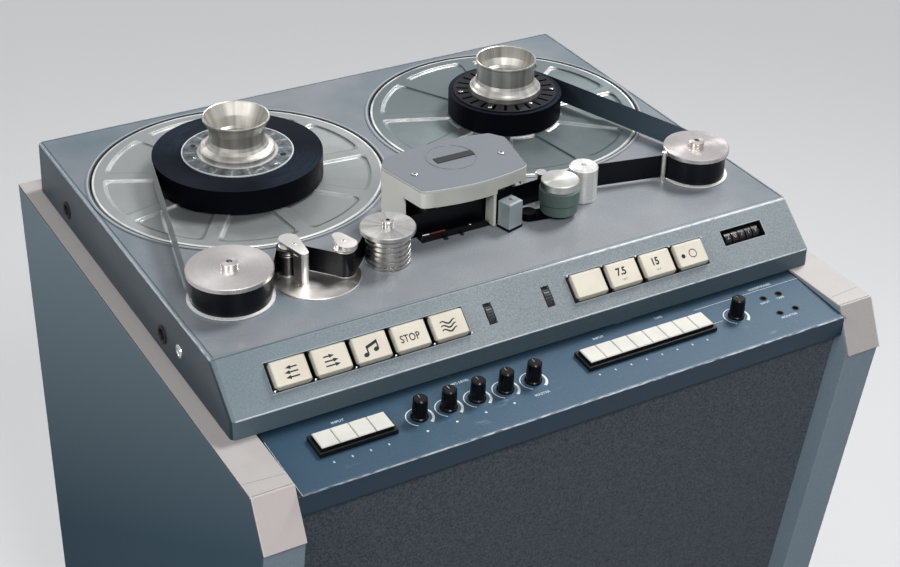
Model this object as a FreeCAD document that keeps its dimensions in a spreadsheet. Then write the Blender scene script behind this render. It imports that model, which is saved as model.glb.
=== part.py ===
import FreeCAD, Part
import Sketcher
import math
import os

# A studio reel-to-reel tape recorder in its floor console, in millimetres.
# +X is the machine's right, +Y its back, +Z up. The origin is on the floor, under the console's centre.

os.makedirs("parts", exist_ok=True)
doc = FreeCAD.newDocument("tape_recorder")
sheet = doc.addObject("Spreadsheet::Sheet", "Sizes")


class Size:
    """A number together with the expression that ties it to the sheet."""

    def __init__(self, number, text):
        self.number = float(number)
        self.text = text

    def __add__(self, other):
        other = as_size(other)
        return Size(self.number + other.number, f"({self.text} + {other.text})")

    def __radd__(self, other):
        return as_size(other) + self

    def __sub__(self, other):
        other = as_size(other)
        return Size(self.number - other.number, f"({self.text} - {other.text})")

    def __rsub__(self, other):
        return as_size(other) - self

    def __mul__(self, other):
        other = as_size(other)
        return Size(self.number * other.number, f"({self.text} * {other.text})")

    def __rmul__(self, other):
        return as_size(other) * self

    def __truediv__(self, other):
        other = as_size(other)
        return Size(self.number / other.number, f"({self.text} / {other.text})")

    def __neg__(self):
        return 0 - self


def as_size(value):
    if isinstance(value, Size):
        return value
    return Size(value, f"{value:.6g}" if value >= 0 else f"(0 - {-value:.6g})")


def sine(angle):
    return Size(math.sin(math.radians(angle.number)), f"sin({angle.text} * 1 deg)")


def cosine(angle):
    return Size(math.cos(math.radians(angle.number)), f"cos({angle.text} * 1 deg)")


def tangent(angle):
    return Size(math.tan(math.radians(angle.number)), f"tan({angle.text} * 1 deg)")


def root(value):
    return Size(math.sqrt(value.number), f"sqrt({value.text})")


# Driving sizes. Each line is one length, angle or count of the real machine.
row = 0


def size(alias, number, note):
    """Puts one driving size on the sheet and returns it."""
    global row
    row += 1
    sheet.set(f"A{row}", note)
    sheet.set(f"B{row}", f"{number}")
    sheet.setAlias(f"B{row}", alias)
    return Size(number, f"Sizes.{alias}")


console_width = size("console_width", 675, "over the two cheeks")
rear_shelf = size("rear_shelf", 24, "deck's back edge to the console's rear edge")
deck_height = size("deck_height", 860, "floor to deck surface")
cheek_thickness = size("cheek_thickness", 40.5, "side cheek")
trim_thickness = size("trim_thickness", 3, "armrest and nose trim")
trim_joint = size("trim_joint", 0.6, "open joint between the trims")
nose_rise = size("nose_rise", 47.5, "height of the nose face")
nose_depth = size("nose_depth", 22.5, "how far the nose face leans out")
leg_angle = size("leg_angle", 8.2, "lean of the cheek's front edge below the nose")
seat_gap = size("seat_gap", 0.3, "gap between neighbours that lift out")
key_gap = size("key_gap", 0.35, "side gap of a sliding key")
shaft_gap = size("shaft_gap", 0.06, "radial play of a running shaft")

board_thickness = size("board_thickness", 18, "base board and speaker board")
base_clearance = size("base_clearance", 30, "floor to base board")
speaker_recess = size("speaker_recess", 22, "speaker board behind the cheek edge")
rear_thickness = size("rear_thickness", 10, "rear cover")
vent_width = size("vent_width", 70, "ventilation slot")
vent_spread = size("vent_spread", 92, "between columns of ventilation slots")
vent_height = size("vent_height", 8, "ventilation slot")
vent_pitch = size("vent_pitch", 24, "ventilation slots")
vent_count = size("vent_count", 8, "ventilation slots")

break_setback = size("break_setback", 145, "nose front to the deck's front edge")
chassis_width = size("chassis_width", 637, "transport chassis at the deck")
chassis_length = size("chassis_length", 468, "deck surface, front to back")
chassis_flare = size("chassis_flare", 1.5, "how far the walls lean out at their foot")
slope_run = size("slope_run", 43.2, "sloped key panel, horizontally")
slope_drop = size("slope_drop", 38.4, "sloped key panel, vertically")
fascia_height = size("fascia_height", 19.3, "upright band below the key panel")
wall_thickness = size("wall_thickness", 4, "chassis wall")
ledge_thickness = size("ledge_thickness", 4, "ledge under the deck plate")
ledge_width = size("ledge_width", 8, "ledge under the deck plate")
deck_rim = size("deck_rim", 3.5, "chassis rim round the deck plate")
deck_thickness = size("deck_thickness", 4, "deck plate")
deck_gap = size("deck_gap", 0.5, "gap round the deck plate")
deck_edge = size("deck_edge", 0.8, "bevel of the deck plate's edge")
top_round = size("top_round", 3, "outer edges of the chassis top")
corner_round = size("corner_round", 6, "upright outer edges of the chassis")
foot_round = size("foot_round", 1, "lower edge of the sloped key panel")

reel_spacing = size("reel_spacing", 319.2, "between the turntable centres")
reel_setback = size("reel_setback", 303, "turntable centres behind the deck's front edge")
turntable_radius = size("turntable_radius", 149, "turntable plate")
well_gap = size("well_gap", 1.5, "dark gap round the turntable")
well_depth = size("well_depth", 13, "well below the deck surface")
well_floor = size("well_floor", 3, "floor of the well")
well_wall = size("well_wall", 2, "side of the well below the deck plate")
lip_width = size("lip_width", 4.5, "raised lip round the well")
lip_height = size("lip_height", 1, "raised lip round the well")
plate_thickness = size("plate_thickness", 6, "turntable plate")
plate_lift = size("plate_lift", 0.6, "turntable surface over the deck")
sector_count = size("sector_count", 9, "pressed fields in a turntable")
sector_outer = size("sector_outer", 136, "pressed field, outer radius")
sector_inner = size("sector_inner", 62, "pressed field, inner radius")
sector_corner = size("sector_corner", 9, "pressed field, corner radius")
sector_depth = size("sector_depth", 2, "pressed field")
spoke_width = size("spoke_width", 15, "land between two pressed fields")
left_sector_turn = size("left_sector_turn", 15, "left turntable's first pressed field, from the machine's right")
right_sector_turn = size("right_sector_turn", 18.5, "right turntable's first pressed field, from the machine's right")
spindle_radius = size("spindle_radius", 6, "spindle through the clamp")
drive_shaft_radius = size("drive_shaft_radius", 10, "turntable shaft")
drive_shaft_depth = size("drive_shaft_depth", 40, "turntable shaft below the deck")
seat_radius = size("seat_radius", 50, "raised seat for the hub")
seat_height = size("seat_height", 1.5, "raised seat over the deck")

tape_width = size("tape_width", 25.4, "one-inch tape")
tape_lift = size("tape_lift", 2, "lower tape edge over the deck")
tape_thickness = size("tape_thickness", 0.3, "tape ribbon as modelled")
tape_gap = size("tape_gap", 0.3, "tape ribbon to what it runs round")
hub_radius = size("hub_radius", 57.15, "outside of the hub")
hub_bore = size("hub_bore", 38.1, "bore of the hub")
hub_height = size("hub_height", 27, "hub")
full_pack_radius = size("full_pack_radius", 87, "tape on the left hub")
small_pack_radius = size("small_pack_radius", 62.5, "tape on the right hub")
hub_hole_radius = size("hub_hole_radius", 3.5, "round holes in the clear hub")
hub_hole_count = size("hub_hole_count", 2, "round holes in the clear hub")
hub_hole_turn = size("hub_hole_turn", 142, "first round hole in the clear hub, from the machine's right")
hub_rib_count = size("hub_rib_count", 24, "slots in the black hub")
hub_slot_width = size("hub_slot_width", 3.2, "slot in the black hub")
hub_slot_depth = size("hub_slot_depth", 6, "slot in the black hub")
clamp_flange = size("clamp_flange", 38.5, "foot flange of the left reel clamp")
right_clamp_flange = size("right_clamp_flange", 39, "foot flange of the right reel clamp")
clamp_neck = size("clamp_neck", 28.2, "neck of the left reel clamp")
right_clamp_neck = size("right_clamp_neck", 31.7, "neck of the right reel clamp")
clamp_rim = size("clamp_rim", 34.3, "flared rim of the left reel clamp")
right_clamp_rim = size("right_clamp_rim", 33.2, "flared rim of the right reel clamp")
clamp_height = size("clamp_height", 68.5, "top of the left clamp over the deck")
right_clamp_height = size("right_clamp_height", 66.2, "top of the right clamp over the deck")
clamp_floor = size("clamp_floor", 44, "floor of the clamp's cup over the deck")

roller_setback = size("roller_setback", 88, "tape rollers behind the deck's front edge")
left_roller_x = size("left_roller_x", -261, "left tape roller")
left_roller_body = size("left_roller_body", 37, "left tape roller")
left_roller_flange = size("left_roller_flange", 40.5, "left tape roller")
right_roller_x = size("right_roller_x", 264, "right tape roller")
right_roller_body = size("right_roller_body", 31, "right tape roller")
right_roller_flange = size("right_roller_flange", 34.5, "right tape roller")
roller_top = size("roller_top", 33, "top of the tape rollers over the deck")
roller_shaft = size("roller_shaft", 5, "roller shaft")
roller_shaft_depth = size("roller_shaft_depth", 12, "roller shaft below the deck")
roller_lift = size("roller_lift", 0.6, "running gap under a roller")
nut_radius = size("nut_radius", 8, "nut on a tape roller")
nut_height = size("nut_height", 6, "nut on a tape roller")
nut_bore = size("nut_bore", 2.8, "hole in a roller nut")

grooved_x = size("grooved_x", -103, "grooved roller")
grooved_setback = size("grooved_setback", 80, "grooved roller")
grooved_radius = size("grooved_radius", 22, "grooved roller over its ribs")
grooved_core = size("grooved_core", 20.4, "grooved roller in its grooves")
grooved_flange = size("grooved_flange", 27, "grooved roller's top flange")
grooved_top = size("grooved_top", 38.5, "grooved roller's top over the deck")
groove_count = size("groove_count", 6, "grooves")
groove_width = size("groove_width", 2.4, "groove")

idler_x = size("idler_x", 130, "plain idler roller")
idler_setback = size("idler_setback", 98, "plain idler roller")
idler_radius = size("idler_radius", 14.9, "plain idler roller")
idler_top = size("idler_top", 38, "plain idler roller over the deck")
capstan_x = size("capstan_x", 92, "capstan")
capstan_setback = size("capstan_setback", 118, "capstan")
capstan_radius = size("capstan_radius", 6, "capstan")
capstan_top = size("capstan_top", 30, "capstan over the deck")
flywheel_radius = size("flywheel_radius", 42, "capstan flywheel")
flywheel_top = size("flywheel_top", 32, "flywheel below the deck")
flywheel_thickness = size("flywheel_thickness", 14, "capstan flywheel")
pivot_x = size("pivot_x", 58, "pinch arm's pivot")
pivot_setback = size("pivot_setback", 86, "pinch arm's pivot")
arm_length = size("arm_length", 32.6, "pinch arm, pivot to roller")
arm_rest_angle = size("arm_rest_angle", -10.6, "pinch arm at rest")
pinch_radius = size("pinch_radius", 20.6, "pinch roller")
pinch_cap_radius = size("pinch_cap_radius", 19.2, "pinch roller's cap")
pinch_step = size("pinch_step", 17, "step in the pinch roller's tyre over the deck")
pivot_top = size("pivot_top", 9, "pinch arm's pivot over the deck")
pinch_axle = size("pinch_axle", 4, "pinch roller's axle")
arm_lift = size("arm_lift", 1.2, "pinch arm over the deck")
arm_thickness = size("arm_thickness", 4, "pinch arm")
pinch_cap_top = size("pinch_cap_top", 40.8, "pinch roller's cap over the deck")

guide_x = size("guide_x", -176, "guide plate")
guide_setback = size("guide_setback", 84, "guide plate")
guide_plate_radius = size("guide_plate_radius", 42.3, "guide plate")
guide_plate_thickness = size("guide_plate_thickness", 1.6, "guide plate")
post_a_x = size("post_a_x", -197, "left guide post")
post_a_setback = size("post_a_setback", 103, "left guide post")
post_b_x = size("post_b_x", -150, "right guide post")
post_b_setback = size("post_b_setback", 76.5, "right guide post")
post_radius = size("post_radius", 9, "guide post where the tape runs")
post_top = size("post_top", 34.5, "top of the guide blocks over the deck")
wing_thickness = size("wing_thickness", 4.5, "cap of a guide block")
pin_x = size("pin_x", 225.8, "guide pin")
pin_setback = size("pin_setback", 91, "guide pin")
pin_radius = size("pin_radius", 2.7, "guide pin")
pin_top = size("pin_top", 33, "guide pin over the deck")

head_radius = size("head_radius", 13, "curved face of a head")
head_pitch = size("head_pitch", 34, "between heads")
head_face_setback = size("head_face_setback", 103.6, "left head's face behind the deck's front edge")
middle_head_step = size("middle_head_step", 0.9, "middle head behind the left one")
right_head_step = size("right_head_step", 2.5, "right head behind the left one")
head_top = size("head_top", 35, "heads over the deck")
cover_half_front = size("cover_half_front", 59, "head cover's half width in front")
cover_half_back = size("cover_half_back", 71, "head cover's half width behind")
cover_front = size("cover_front", 93, "head cover's front corners")
cover_side_back = size("cover_side_back", 156, "head cover's widest place")
cover_back = size("cover_back", 171, "head cover's back corners")
cover_front_bow = size("cover_front_bow", 209, "radius of the cover's front edge")
cover_back_bow = size("cover_back_bow", 260, "radius of the cover's back edge")
cover_wall = size("cover_wall", 3, "head cover's wall")
cover_top = size("cover_top", 54, "head cover's body over the deck")
cover_lip = size("cover_lip", 38, "lower edge of the cover over the tape")
cover_plate_thickness = size("cover_plate_thickness", 3.2, "plate on the head cover")
badge_radius = size("badge_radius", 26, "raised ring on the cover plate")

key_pitch = size("key_pitch", 40, "transport keys")
key_width = size("key_width", 38.4, "transport key")
key_length = size("key_length", 27.8, "transport key up the slope")
key_rise = size("key_rise", 5.6, "transport key over the panel")
key_taper = size("key_taper", 24, "lean of a transport key's skirt")
key_corner = size("key_corner", 2.6, "corner radius of a transport key")
key_edge = size("key_edge", 1, "rounding of a transport key's top edge")
key_skirt = size("key_skirt", 7, "transport key below the panel")
key_travel_room = size("key_travel_room", 4.5, "free depth below a transport key")
key_row_center = size("key_row_center", 29, "key row below the deck's front edge, along the slope")
left_keys_x = size("left_keys_x", -174.3, "middle of the five keys")
right_keys_x = size("right_keys_x", 119.9, "middle of the four keys")
tray_wall = size("tray_wall", 3, "walls of a key tray")
slot_width = size("slot_width", 9, "thumbwheel slot")
slot_length = size("slot_length", 21, "thumbwheel slot")
slot_a_x = size("slot_a_x", -48.6, "left thumbwheel")
slot_b_x = size("slot_b_x", 15.3, "right thumbwheel")
wheel_radius = size("wheel_radius", 11.5, "thumbwheel")
wheel_width = size("wheel_width", 7, "thumbwheel")
wheel_rise = size("wheel_rise", 1.2, "thumbwheel over the panel")
wheel_axle = size("wheel_axle", 2, "thumbwheel axle")
notch_count = size("notch_count", 24, "notches round a thumbwheel")
notch_radius = size("notch_radius", 0.7, "notch of a thumbwheel")
counter_inset = size("counter_inset", 68.1, "counter window's middle to the chassis side")
counter_width = size("counter_width", 50.8, "counter window")
counter_length = size("counter_length", 16.6, "counter window up the slope")
counter_depth = size("counter_depth", 17, "counter window")
counter_slope = size("counter_slope", 23, "counter window below the deck's front edge, along the slope")
drum_radius = size("drum_radius", 7.5, "number drum")
drum_count = size("drum_count", 5, "number drums")
drum_gap = size("drum_gap", 1.4, "between number drums")

panel_front_setback = size("panel_front_setback", 13.9, "monitor panel's edge behind the nose front")
panel_front_drop = size("panel_front_drop", 65.4, "monitor panel's edge below the deck")
panel_angle = size("panel_angle", 3.4, "rise of the monitor panel")
panel_length = size("panel_length", 93, "monitor panel, front to back")
panel_thickness = size("panel_thickness", 3, "monitor panel")
panel_lip = size("panel_lip", 22, "monitor panel's front lip")
bend_round = size("bend_round", 2.5, "outside of the panel's bend")
knob_first_x = size("knob_first_x", -156, "first of five knobs")
knob_pitch = size("knob_pitch", 29.9, "five knobs")
knob_last_x = size("knob_last_x", 198.6, "knob by itself")
knob_row = size("knob_row", 49, "knob row behind the panel's edge")
knob_radius = size("knob_radius", 7.5, "knob")
knob_height = size("knob_height", 22, "knob")
knob_shaft = size("knob_shaft", 3, "knob shaft")
flute_count = size("flute_count", 14, "flutes round a knob")
flute_radius = size("flute_radius", 0.9, "flute")
small_key_pitch = size("small_key_pitch", 17.8, "small keys")
small_key_width = size("small_key_width", 17.3, "small key")
small_key_length = size("small_key_length", 21.5, "small key, front to back")
small_key_bottom = size("small_key_bottom", 3.6, "small key's lower face over the panel")
small_key_top = size("small_key_top", 8.8, "small key's top over the panel")
small_row = size("small_row", 50.4, "small key row behind the panel's edge")
small_base_height = size("small_base_height", 4.6, "black base of the small keys")
small_base_floor = size("small_base_floor", 0.3, "floor of the base over the panel")
small_base_rim = size("small_base_rim", 2.6, "rim of the black base")
four_keys_x = size("four_keys_x", -221.8, "middle of the four small keys")
eight_keys_x = size("eight_keys_x", 92, "middle of the eight small keys")
jack_x = size("jack_x", 251.5, "middle of the jack holes")
jack_spread_x = size("jack_spread_x", 19.4, "between jack holes across")
jack_spread_y = size("jack_spread_y", 27.5, "between jack holes front to back")
jack_middle = size("jack_middle", 47.6, "jack holes behind the panel's edge")
jack_radius = size("jack_radius", 3, "jack hole")

motor_radius = size("motor_radius", 52, "reel motor")
motor_length = size("motor_length", 88, "reel motor")
capstan_motor_radius = size("capstan_motor_radius", 40, "capstan motor")

doc.recompute()

# Heights and places worked out from the driving sizes.
console_depth = break_setback + chassis_length + rear_shelf
nose_front = -console_depth / 2
counter_x = chassis_width / 2 - counter_inset
rear_edge = console_depth / 2
break_y = nose_front + break_setback
arm_top = deck_height - slope_drop - fascia_height
chassis_height = slope_drop + fascia_height
slope_angle = Size(
    math.degrees(math.atan2(slope_drop.number, slope_run.number)),
    f"(atan2({slope_drop.text}; {slope_run.text}) / 1 deg)",
)
inner_half = console_width / 2 - cheek_thickness
reel_x = reel_spacing / 2
tape_top = tape_lift + tape_width
nose_bottom = arm_top - nose_rise
trim_shift = trim_thickness * root(nose_rise * nose_rise + nose_depth * nose_depth) / nose_rise
lean = tangent(leg_angle)
panel_edge_y = nose_front + panel_front_setback
panel_edge_z = deck_height - panel_front_drop
pinch_x = pivot_x + arm_length * cosine(arm_rest_angle)
pinch_setback = pivot_setback + arm_length * sine(arm_rest_angle)


# Helpers that build one object each and bind it to the sheet.
def bind(obj, prop, value):
    """Sets a property and ties it to the sheet."""
    value = as_size(value)
    if prop.startswith("Placement.Base."):
        base = obj.Placement.Base
        setattr(base, prop[-1], value.number)
        obj.Placement = FreeCAD.Placement(base, obj.Placement.Rotation)
    elif prop != "Placement.Rotation.Angle":
        setattr(obj, prop, value.number)
    obj.setExpression(prop, value.text)


def place(obj, x=0, y=0, z=0):
    for axis, value in zip("xyz", (x, y, z)):
        bind(obj, f"Placement.Base.{axis}", value)
    return obj


def turn(obj, axis, angle):
    """Turns an object about one of its own axes by a bound angle."""
    angle = as_size(angle)
    rotation = FreeCAD.Rotation(FreeCAD.Vector(*axis), angle.number)
    obj.Placement = FreeCAD.Placement(obj.Placement.Base, rotation)
    obj.setExpression("Placement.Rotation.Angle", angle.text)
    return obj


def tilted(obj, origin_y, origin_z, angle, x, along, out):
    """Places an object in a frame that is tilted about X: along runs up the slope, out is square to it."""
    turn(obj, (1, 0, 0), angle)
    y = origin_y + along * cosine(angle) - out * sine(angle)
    z = origin_z + along * sine(angle) + out * cosine(angle)
    return place(obj, x, y, z)


def on_slope(obj, x, down, out):
    """Places an object on the key panel: down is measured from the deck's front edge."""
    return tilted(obj, break_y, deck_height, slope_angle, as_size(x), -as_size(down), as_size(out))


def on_panel(obj, x, back, out):
    """Places an object on the monitor panel: back is measured from the panel's front edge."""
    return tilted(obj, panel_edge_y, panel_edge_z, panel_angle, as_size(x), as_size(back), as_size(out))


def on_deck(obj, x, setback, z=0):
    """Places an object on the deck: setback is measured from the deck's front edge."""
    return place(obj, x, break_y + setback, deck_height + z)


def block(name, length, width, height):
    obj = doc.addObject("Part::Box", name)
    bind(obj, "Length", length)
    bind(obj, "Width", width)
    bind(obj, "Height", height)
    return obj


def rod(name, radius, height):
    obj = doc.addObject("Part::Cylinder", name)
    bind(obj, "Radius", radius)
    bind(obj, "Height", height)
    return obj


def cross_rod(name, radius, length, y, z):
    """A rod along X, centred on the machine's middle."""
    obj = rod(name, radius, length)
    turn(obj, (0, 1, 0), 90)
    return place(obj, -as_size(length) / 2, y, z)


def joined(name, pieces):
    obj = doc.addObject("Part::MultiFuse", name)
    obj.Shapes = pieces
    return obj


def cut(name, base, tools):
    tool = tools[0] if len(tools) == 1 else joined(f"{name}_tools", tools)
    obj = doc.addObject("Part::Cut", name)
    obj.Base = base
    obj.Tool = tool
    return obj


def group(name, pieces):
    obj = doc.addObject("Part::Compound", name)
    obj.Links = pieces
    return obj


def sketch_on(body, role, points, bows=None):
    """A closed outline of straight edges on an origin plane. bows gives the radius of an edge that is an arc."""
    bows = bows or {}
    sketch = body.newObject("Sketcher::SketchObject", "Outline")
    plane = [f for f in body.Origin.OriginFeatures if f.Role == role][0]
    sketch.AttachmentSupport = [(plane, "")]
    sketch.MapMode = "FlatFace"
    count = len(points)
    corners = [(as_size(a), as_size(b)) for a, b in points]
    for i in range(count):
        a = FreeCAD.Vector(corners[i][0].number, corners[i][1].number, 0)
        b = FreeCAD.Vector(corners[(i + 1) % count][0].number, corners[(i + 1) % count][1].number, 0)
        if i in bows:
            half = (b - a) / 2
            out = FreeCAD.Vector(half.y, -half.x, 0).normalize()
            sagitta = bows[i].number - math.sqrt(bows[i].number**2 - half.Length**2)
            sketch.addGeometry(Part.Arc(a, a + half + out * sagitta, b), False)
        else:
            sketch.addGeometry(Part.LineSegment(a, b), False)
    for i in range(count):
        follower = (i + 1) % count
        sketch.addConstraint(Sketcher.Constraint("Coincident", i, 2, follower, 1))
    for i in range(count):
        for kind, value in zip(("DistanceX", "DistanceY"), corners[i]):
            k = sketch.addConstraint(Sketcher.Constraint(kind, -1, 1, i, 1, value.number))
            if "Sizes." in value.text:
                sketch.setExpression(f"Constraints[{k}]", value.text)
        if i in bows:
            k = sketch.addConstraint(Sketcher.Constraint("Radius", i, bows[i].number))
            sketch.setExpression(f"Constraints[{k}]", bows[i].text)
    return sketch


def lathe(name, profile):
    """A body turned about Z from (radius, height) points."""
    body = doc.addObject("PartDesign::Body", name)
    sketch = sketch_on(body, "XZ_Plane", profile)
    turned = body.newObject("PartDesign::Revolution", "Turned")
    turned.Profile = sketch
    turned.ReferenceAxis = (sketch, ["V_Axis"])
    turned.Angle = 360
    return body


def slab(name, role, points, length, bows=None):
    """A body padded from an outline on an origin plane."""
    body = doc.addObject("PartDesign::Body", name)
    sketch = sketch_on(body, role, points, bows)
    pad = body.newObject("PartDesign::Pad", "Pad")
    pad.Profile = sketch
    bind(pad, "Length", length)
    return body


def edges_where(obj, test):
    """Names the edges of an object whose middle and direction pass a test."""
    doc.recompute()
    names = []
    for i, edge in enumerate(obj.Shape.Edges):
        middle = edge.valueAt((edge.FirstParameter + edge.LastParameter) / 2)
        along = edge.tangentAt((edge.FirstParameter + edge.LastParameter) / 2)
        if test(middle, along, edge):
            names.append(i + 1)
    return names


def rounded(name, base, radius, test):
    """Fillets the edges of a solid that pass a test, by one radius or by one that depends on the edge."""
    obj = doc.addObject("Part::Fillet", name)
    obj.Base = base
    if callable(radius):
        picked = [(i, radius(base.Shape.Edges[i - 1])) for i in edges_where(base, test)]
        obj.Edges = [(i, r.number, r.number) for i, r in picked]
    else:
        obj.Edges = [(i, radius.number, radius.number) for i in edges_where(base, test)]
    return obj


def bevelled(name, base, leg, test):
    obj = doc.addObject("Part::Chamfer", name)
    obj.Base = base
    obj.Edges = [(i, leg.number, leg.number) for i in edges_where(base, test)]
    return obj


parts = {}


def part(name, obj):
    """Keeps an object as a sub-part under its own label."""
    obj.Label = name
    parts[name] = obj
    return obj


# Console: two cheeks with their trims, boards, covers and the loudspeaker.
def make_cheeks():
    top = arm_top - trim_thickness
    shoulder_y = nose_front + nose_depth + trim_shift - nose_depth * trim_thickness / nose_rise
    foot_y = nose_front + trim_shift + lean * nose_bottom
    outline = [
        (foot_y, 0),
        (rear_edge, 0),
        (rear_edge, top),
        (shoulder_y, top),
        (nose_front + trim_shift, nose_bottom),
    ]
    strip = [
        (shoulder_y + trim_joint, top),
        (rear_edge, top),
        (rear_edge, arm_top),
        (shoulder_y + trim_joint, arm_top),
    ]
    nose = [
        (nose_front + trim_shift, nose_bottom),
        (shoulder_y, top),
        (shoulder_y, arm_top),
        (nose_front + nose_depth, arm_top),
        (nose_front, nose_bottom),
    ]
    trims = []
    for side, x in (("left", -console_width / 2), ("right", inner_half)):
        part(f"cheek_{side}", place(slab(f"Cheek_{side}", "YZ_Plane", outline, cheek_thickness), x))
        trims.append(place(slab(f"Strip_{side}", "YZ_Plane", strip, cheek_thickness), x))
        trims.append(place(slab(f"Nose_{side}", "YZ_Plane", nose, cheek_thickness), x))
    part("armrest_trims", group("Trims", trims))


def speaker_face(z):
    """Where the speaker board's front face lies at a height."""
    return nose_front + trim_shift + lean * (nose_bottom - z) + speaker_recess


def make_speaker():
    foot = base_clearance
    head = panel_edge_z - panel_lip - trim_thickness
    outline = [
        (speaker_face(foot), foot),
        (speaker_face(foot) + board_thickness, foot),
        (speaker_face(head) + board_thickness, head),
        (speaker_face(head), head),
    ]
    width = 2 * inner_half - 2 * seat_gap
    part("speaker_panel", place(slab("Speaker_board", "YZ_Plane", outline, width), -width / 2))


def make_boards():
    width = 2 * inner_half - 2 * seat_gap
    board_top = base_clearance + board_thickness
    front = speaker_face(base_clearance) + board_thickness + seat_gap
    depth = rear_edge - rear_thickness - seat_gap - front
    board = block("Base", 2 * inner_half, depth, board_thickness)
    part("base_board", place(board, -inner_half, front, base_clearance))
    chassis_back = break_y + chassis_length + chassis_flare + seat_gap
    outline = [
        (rear_edge - rear_thickness, base_clearance),
        (rear_edge, base_clearance),
        (rear_edge, arm_top),
        (chassis_back, arm_top),
        (chassis_back, arm_top - rear_thickness),
        (rear_edge - rear_thickness, arm_top - rear_thickness),
    ]
    cover = place(slab("Rear_sheet", "YZ_Plane", outline, width), -width / 2)
    tools = []
    for i in range(int(vent_count.number)):
        height = arm_top - 110 - vent_pitch * i
        for column in (-1, 0, 1):
            vent = block(f"Vent_{i}_{column + 1}", vent_width, rear_thickness * 3, vent_height)
            start = vent_spread * column - vent_width / 2
            tools.append(place(vent, start, rear_edge - rear_thickness * 2, height))
    inlet_hole = block("Inlet_hole", 30, rear_thickness * 3, 22)
    tools.append(place(inlet_hole, -15, rear_edge - rear_thickness * 2, board_top + 40))
    vented = cut("Rear_vented", cover, tools)
    socket = place(block("Inlet_body", 30, 26, 22), -15, rear_edge - 28, board_top + 40)
    recess = place(block("Inlet_recess", 24, 14, 16), -12, rear_edge - 12, board_top + 43)
    inlet = cut("Inlet", socket, [recess])
    part("rear_cover", joined("Rear_cover", [vented, inlet]))


# Monitor panel with its two key bases, six knobs and twelve small keys.
def make_monitor_panel():
    width = 2 * inner_half - 2 * seat_gap
    outline = [
        (0, -panel_lip),
        (panel_thickness, -panel_lip),
        (panel_thickness, -panel_thickness),
        (panel_length, -panel_thickness),
        (panel_length, 0),
        (0, 0),
    ]
    sheet_body = on_panel(slab("Panel_sheet", "YZ_Plane", outline, width), -width / 2, 0, 0)
    bent = rounded("Panel_bend", sheet_body, bend_round, is_panel_bend)
    solids = [bent]
    holes = []
    for name, middle, count in (("four", four_keys_x, 4), ("eight", eight_keys_x, 8)):
        inside = small_key_pitch * count - (small_key_pitch - small_key_width) + 2 * key_gap
        deep = small_key_length + 2 * key_gap
        outside = inside + 2 * small_base_rim
        base = block(f"Base_{name}", outside, deep + 2 * small_base_rim, small_base_height)
        solids.append(on_panel(base, middle - outside / 2, small_row - deep / 2 - small_base_rim, 0))
        well = block(f"Well_{name}", inside, deep, small_base_height)
        holes.append(on_panel(well, middle - inside / 2, small_row - deep / 2, small_base_floor))
    for i, x in enumerate(knob_places()):
        bore = rod(f"Knob_bore_{i}", knob_shaft + shaft_gap, panel_thickness * 3)
        holes.append(on_panel(bore, x, knob_row, panel_thickness * -2))
    for i, (sx, sy) in enumerate(((-1, -1), (1, -1), (-1, 1), (1, 1))):
        x = jack_x + jack_spread_x / 2 * sx
        back = jack_middle + jack_spread_y / 2 * sy
        bore = rod(f"Jack_bore_{i}", jack_radius, panel_thickness * 3)
        holes.append(on_panel(bore, x, back, panel_thickness * -2))
    part("monitor_panel", cut("Monitor_panel", joined("Panel_solids", solids), holes))


def is_panel_bend(middle, along, edge):
    across = abs(along.x) > 0.99
    at_edge = abs(middle.y - panel_edge_y.number) < 0.1
    return across and at_edge and abs(middle.z - panel_edge_z.number) < 0.1


def knob_places():
    return [knob_first_x + knob_pitch * i for i in range(5)] + [knob_last_x]


def make_knobs():
    profile = [
        (0, -2 * panel_thickness),
        (knob_shaft, -2 * panel_thickness),
        (knob_shaft, seat_gap),
        (knob_radius + 0.8, seat_gap),
        (knob_radius + 0.8, 2.2),
        (knob_radius, 3),
        (knob_radius - 0.7, knob_height - 1.2),
        (knob_radius - 1.9, knob_height),
        (0, knob_height),
    ]
    for i, x in enumerate(knob_places()):
        knob = on_panel(lathe(f"Knob_body_{i}", profile), x, knob_row, 0)
        mark = block(f"Knob_mark_{i}", 1.2, knob_radius, 1.6)
        on_panel(mark, x - 0.6, knob_row, knob_height - 0.8)
        flutes = [mark]
        for turn_count in range(int(flute_count.number)):
            angle = as_size(360 / int(flute_count.number) * turn_count)
            reach = knob_radius + flute_radius * 0.45
            flute = rod(f"Flute_{i}_{turn_count}", flute_radius, knob_height)
            flutes.append(on_panel(flute, x + reach * cosine(angle), knob_row + reach * sine(angle), 3.4))
        name = f"knob_{i + 1}" if i < 5 else "knob_monitor"
        part(name, cut(f"Knob_{i}", knob, flutes))


def make_small_keys():
    for name, middle, count in (("input", four_keys_x, 4), ("monitor", eight_keys_x, 8)):
        for i in range(count):
            x = middle + small_key_pitch * (i - (count - 1) / 2) - small_key_width / 2
            key = block(f"{name}_block_{i}", small_key_width, small_key_length, small_key_top - small_key_bottom)
            on_panel(key, x, small_row - small_key_length / 2, small_key_bottom)
            part(f"{name}_key_{i + 1}", bevelled(f"{name}_cap_{i}", key, as_size(0.7), is_small_key_top))


def is_small_key_top(middle, along, edge):
    """The four upper edges of a small key."""
    angle = math.radians(panel_angle.number)
    dy = middle.y - panel_edge_y.number
    dz = middle.z - panel_edge_z.number
    return abs(-dy * math.sin(angle) + dz * math.cos(angle) - small_key_top.number) < 0.01


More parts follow.
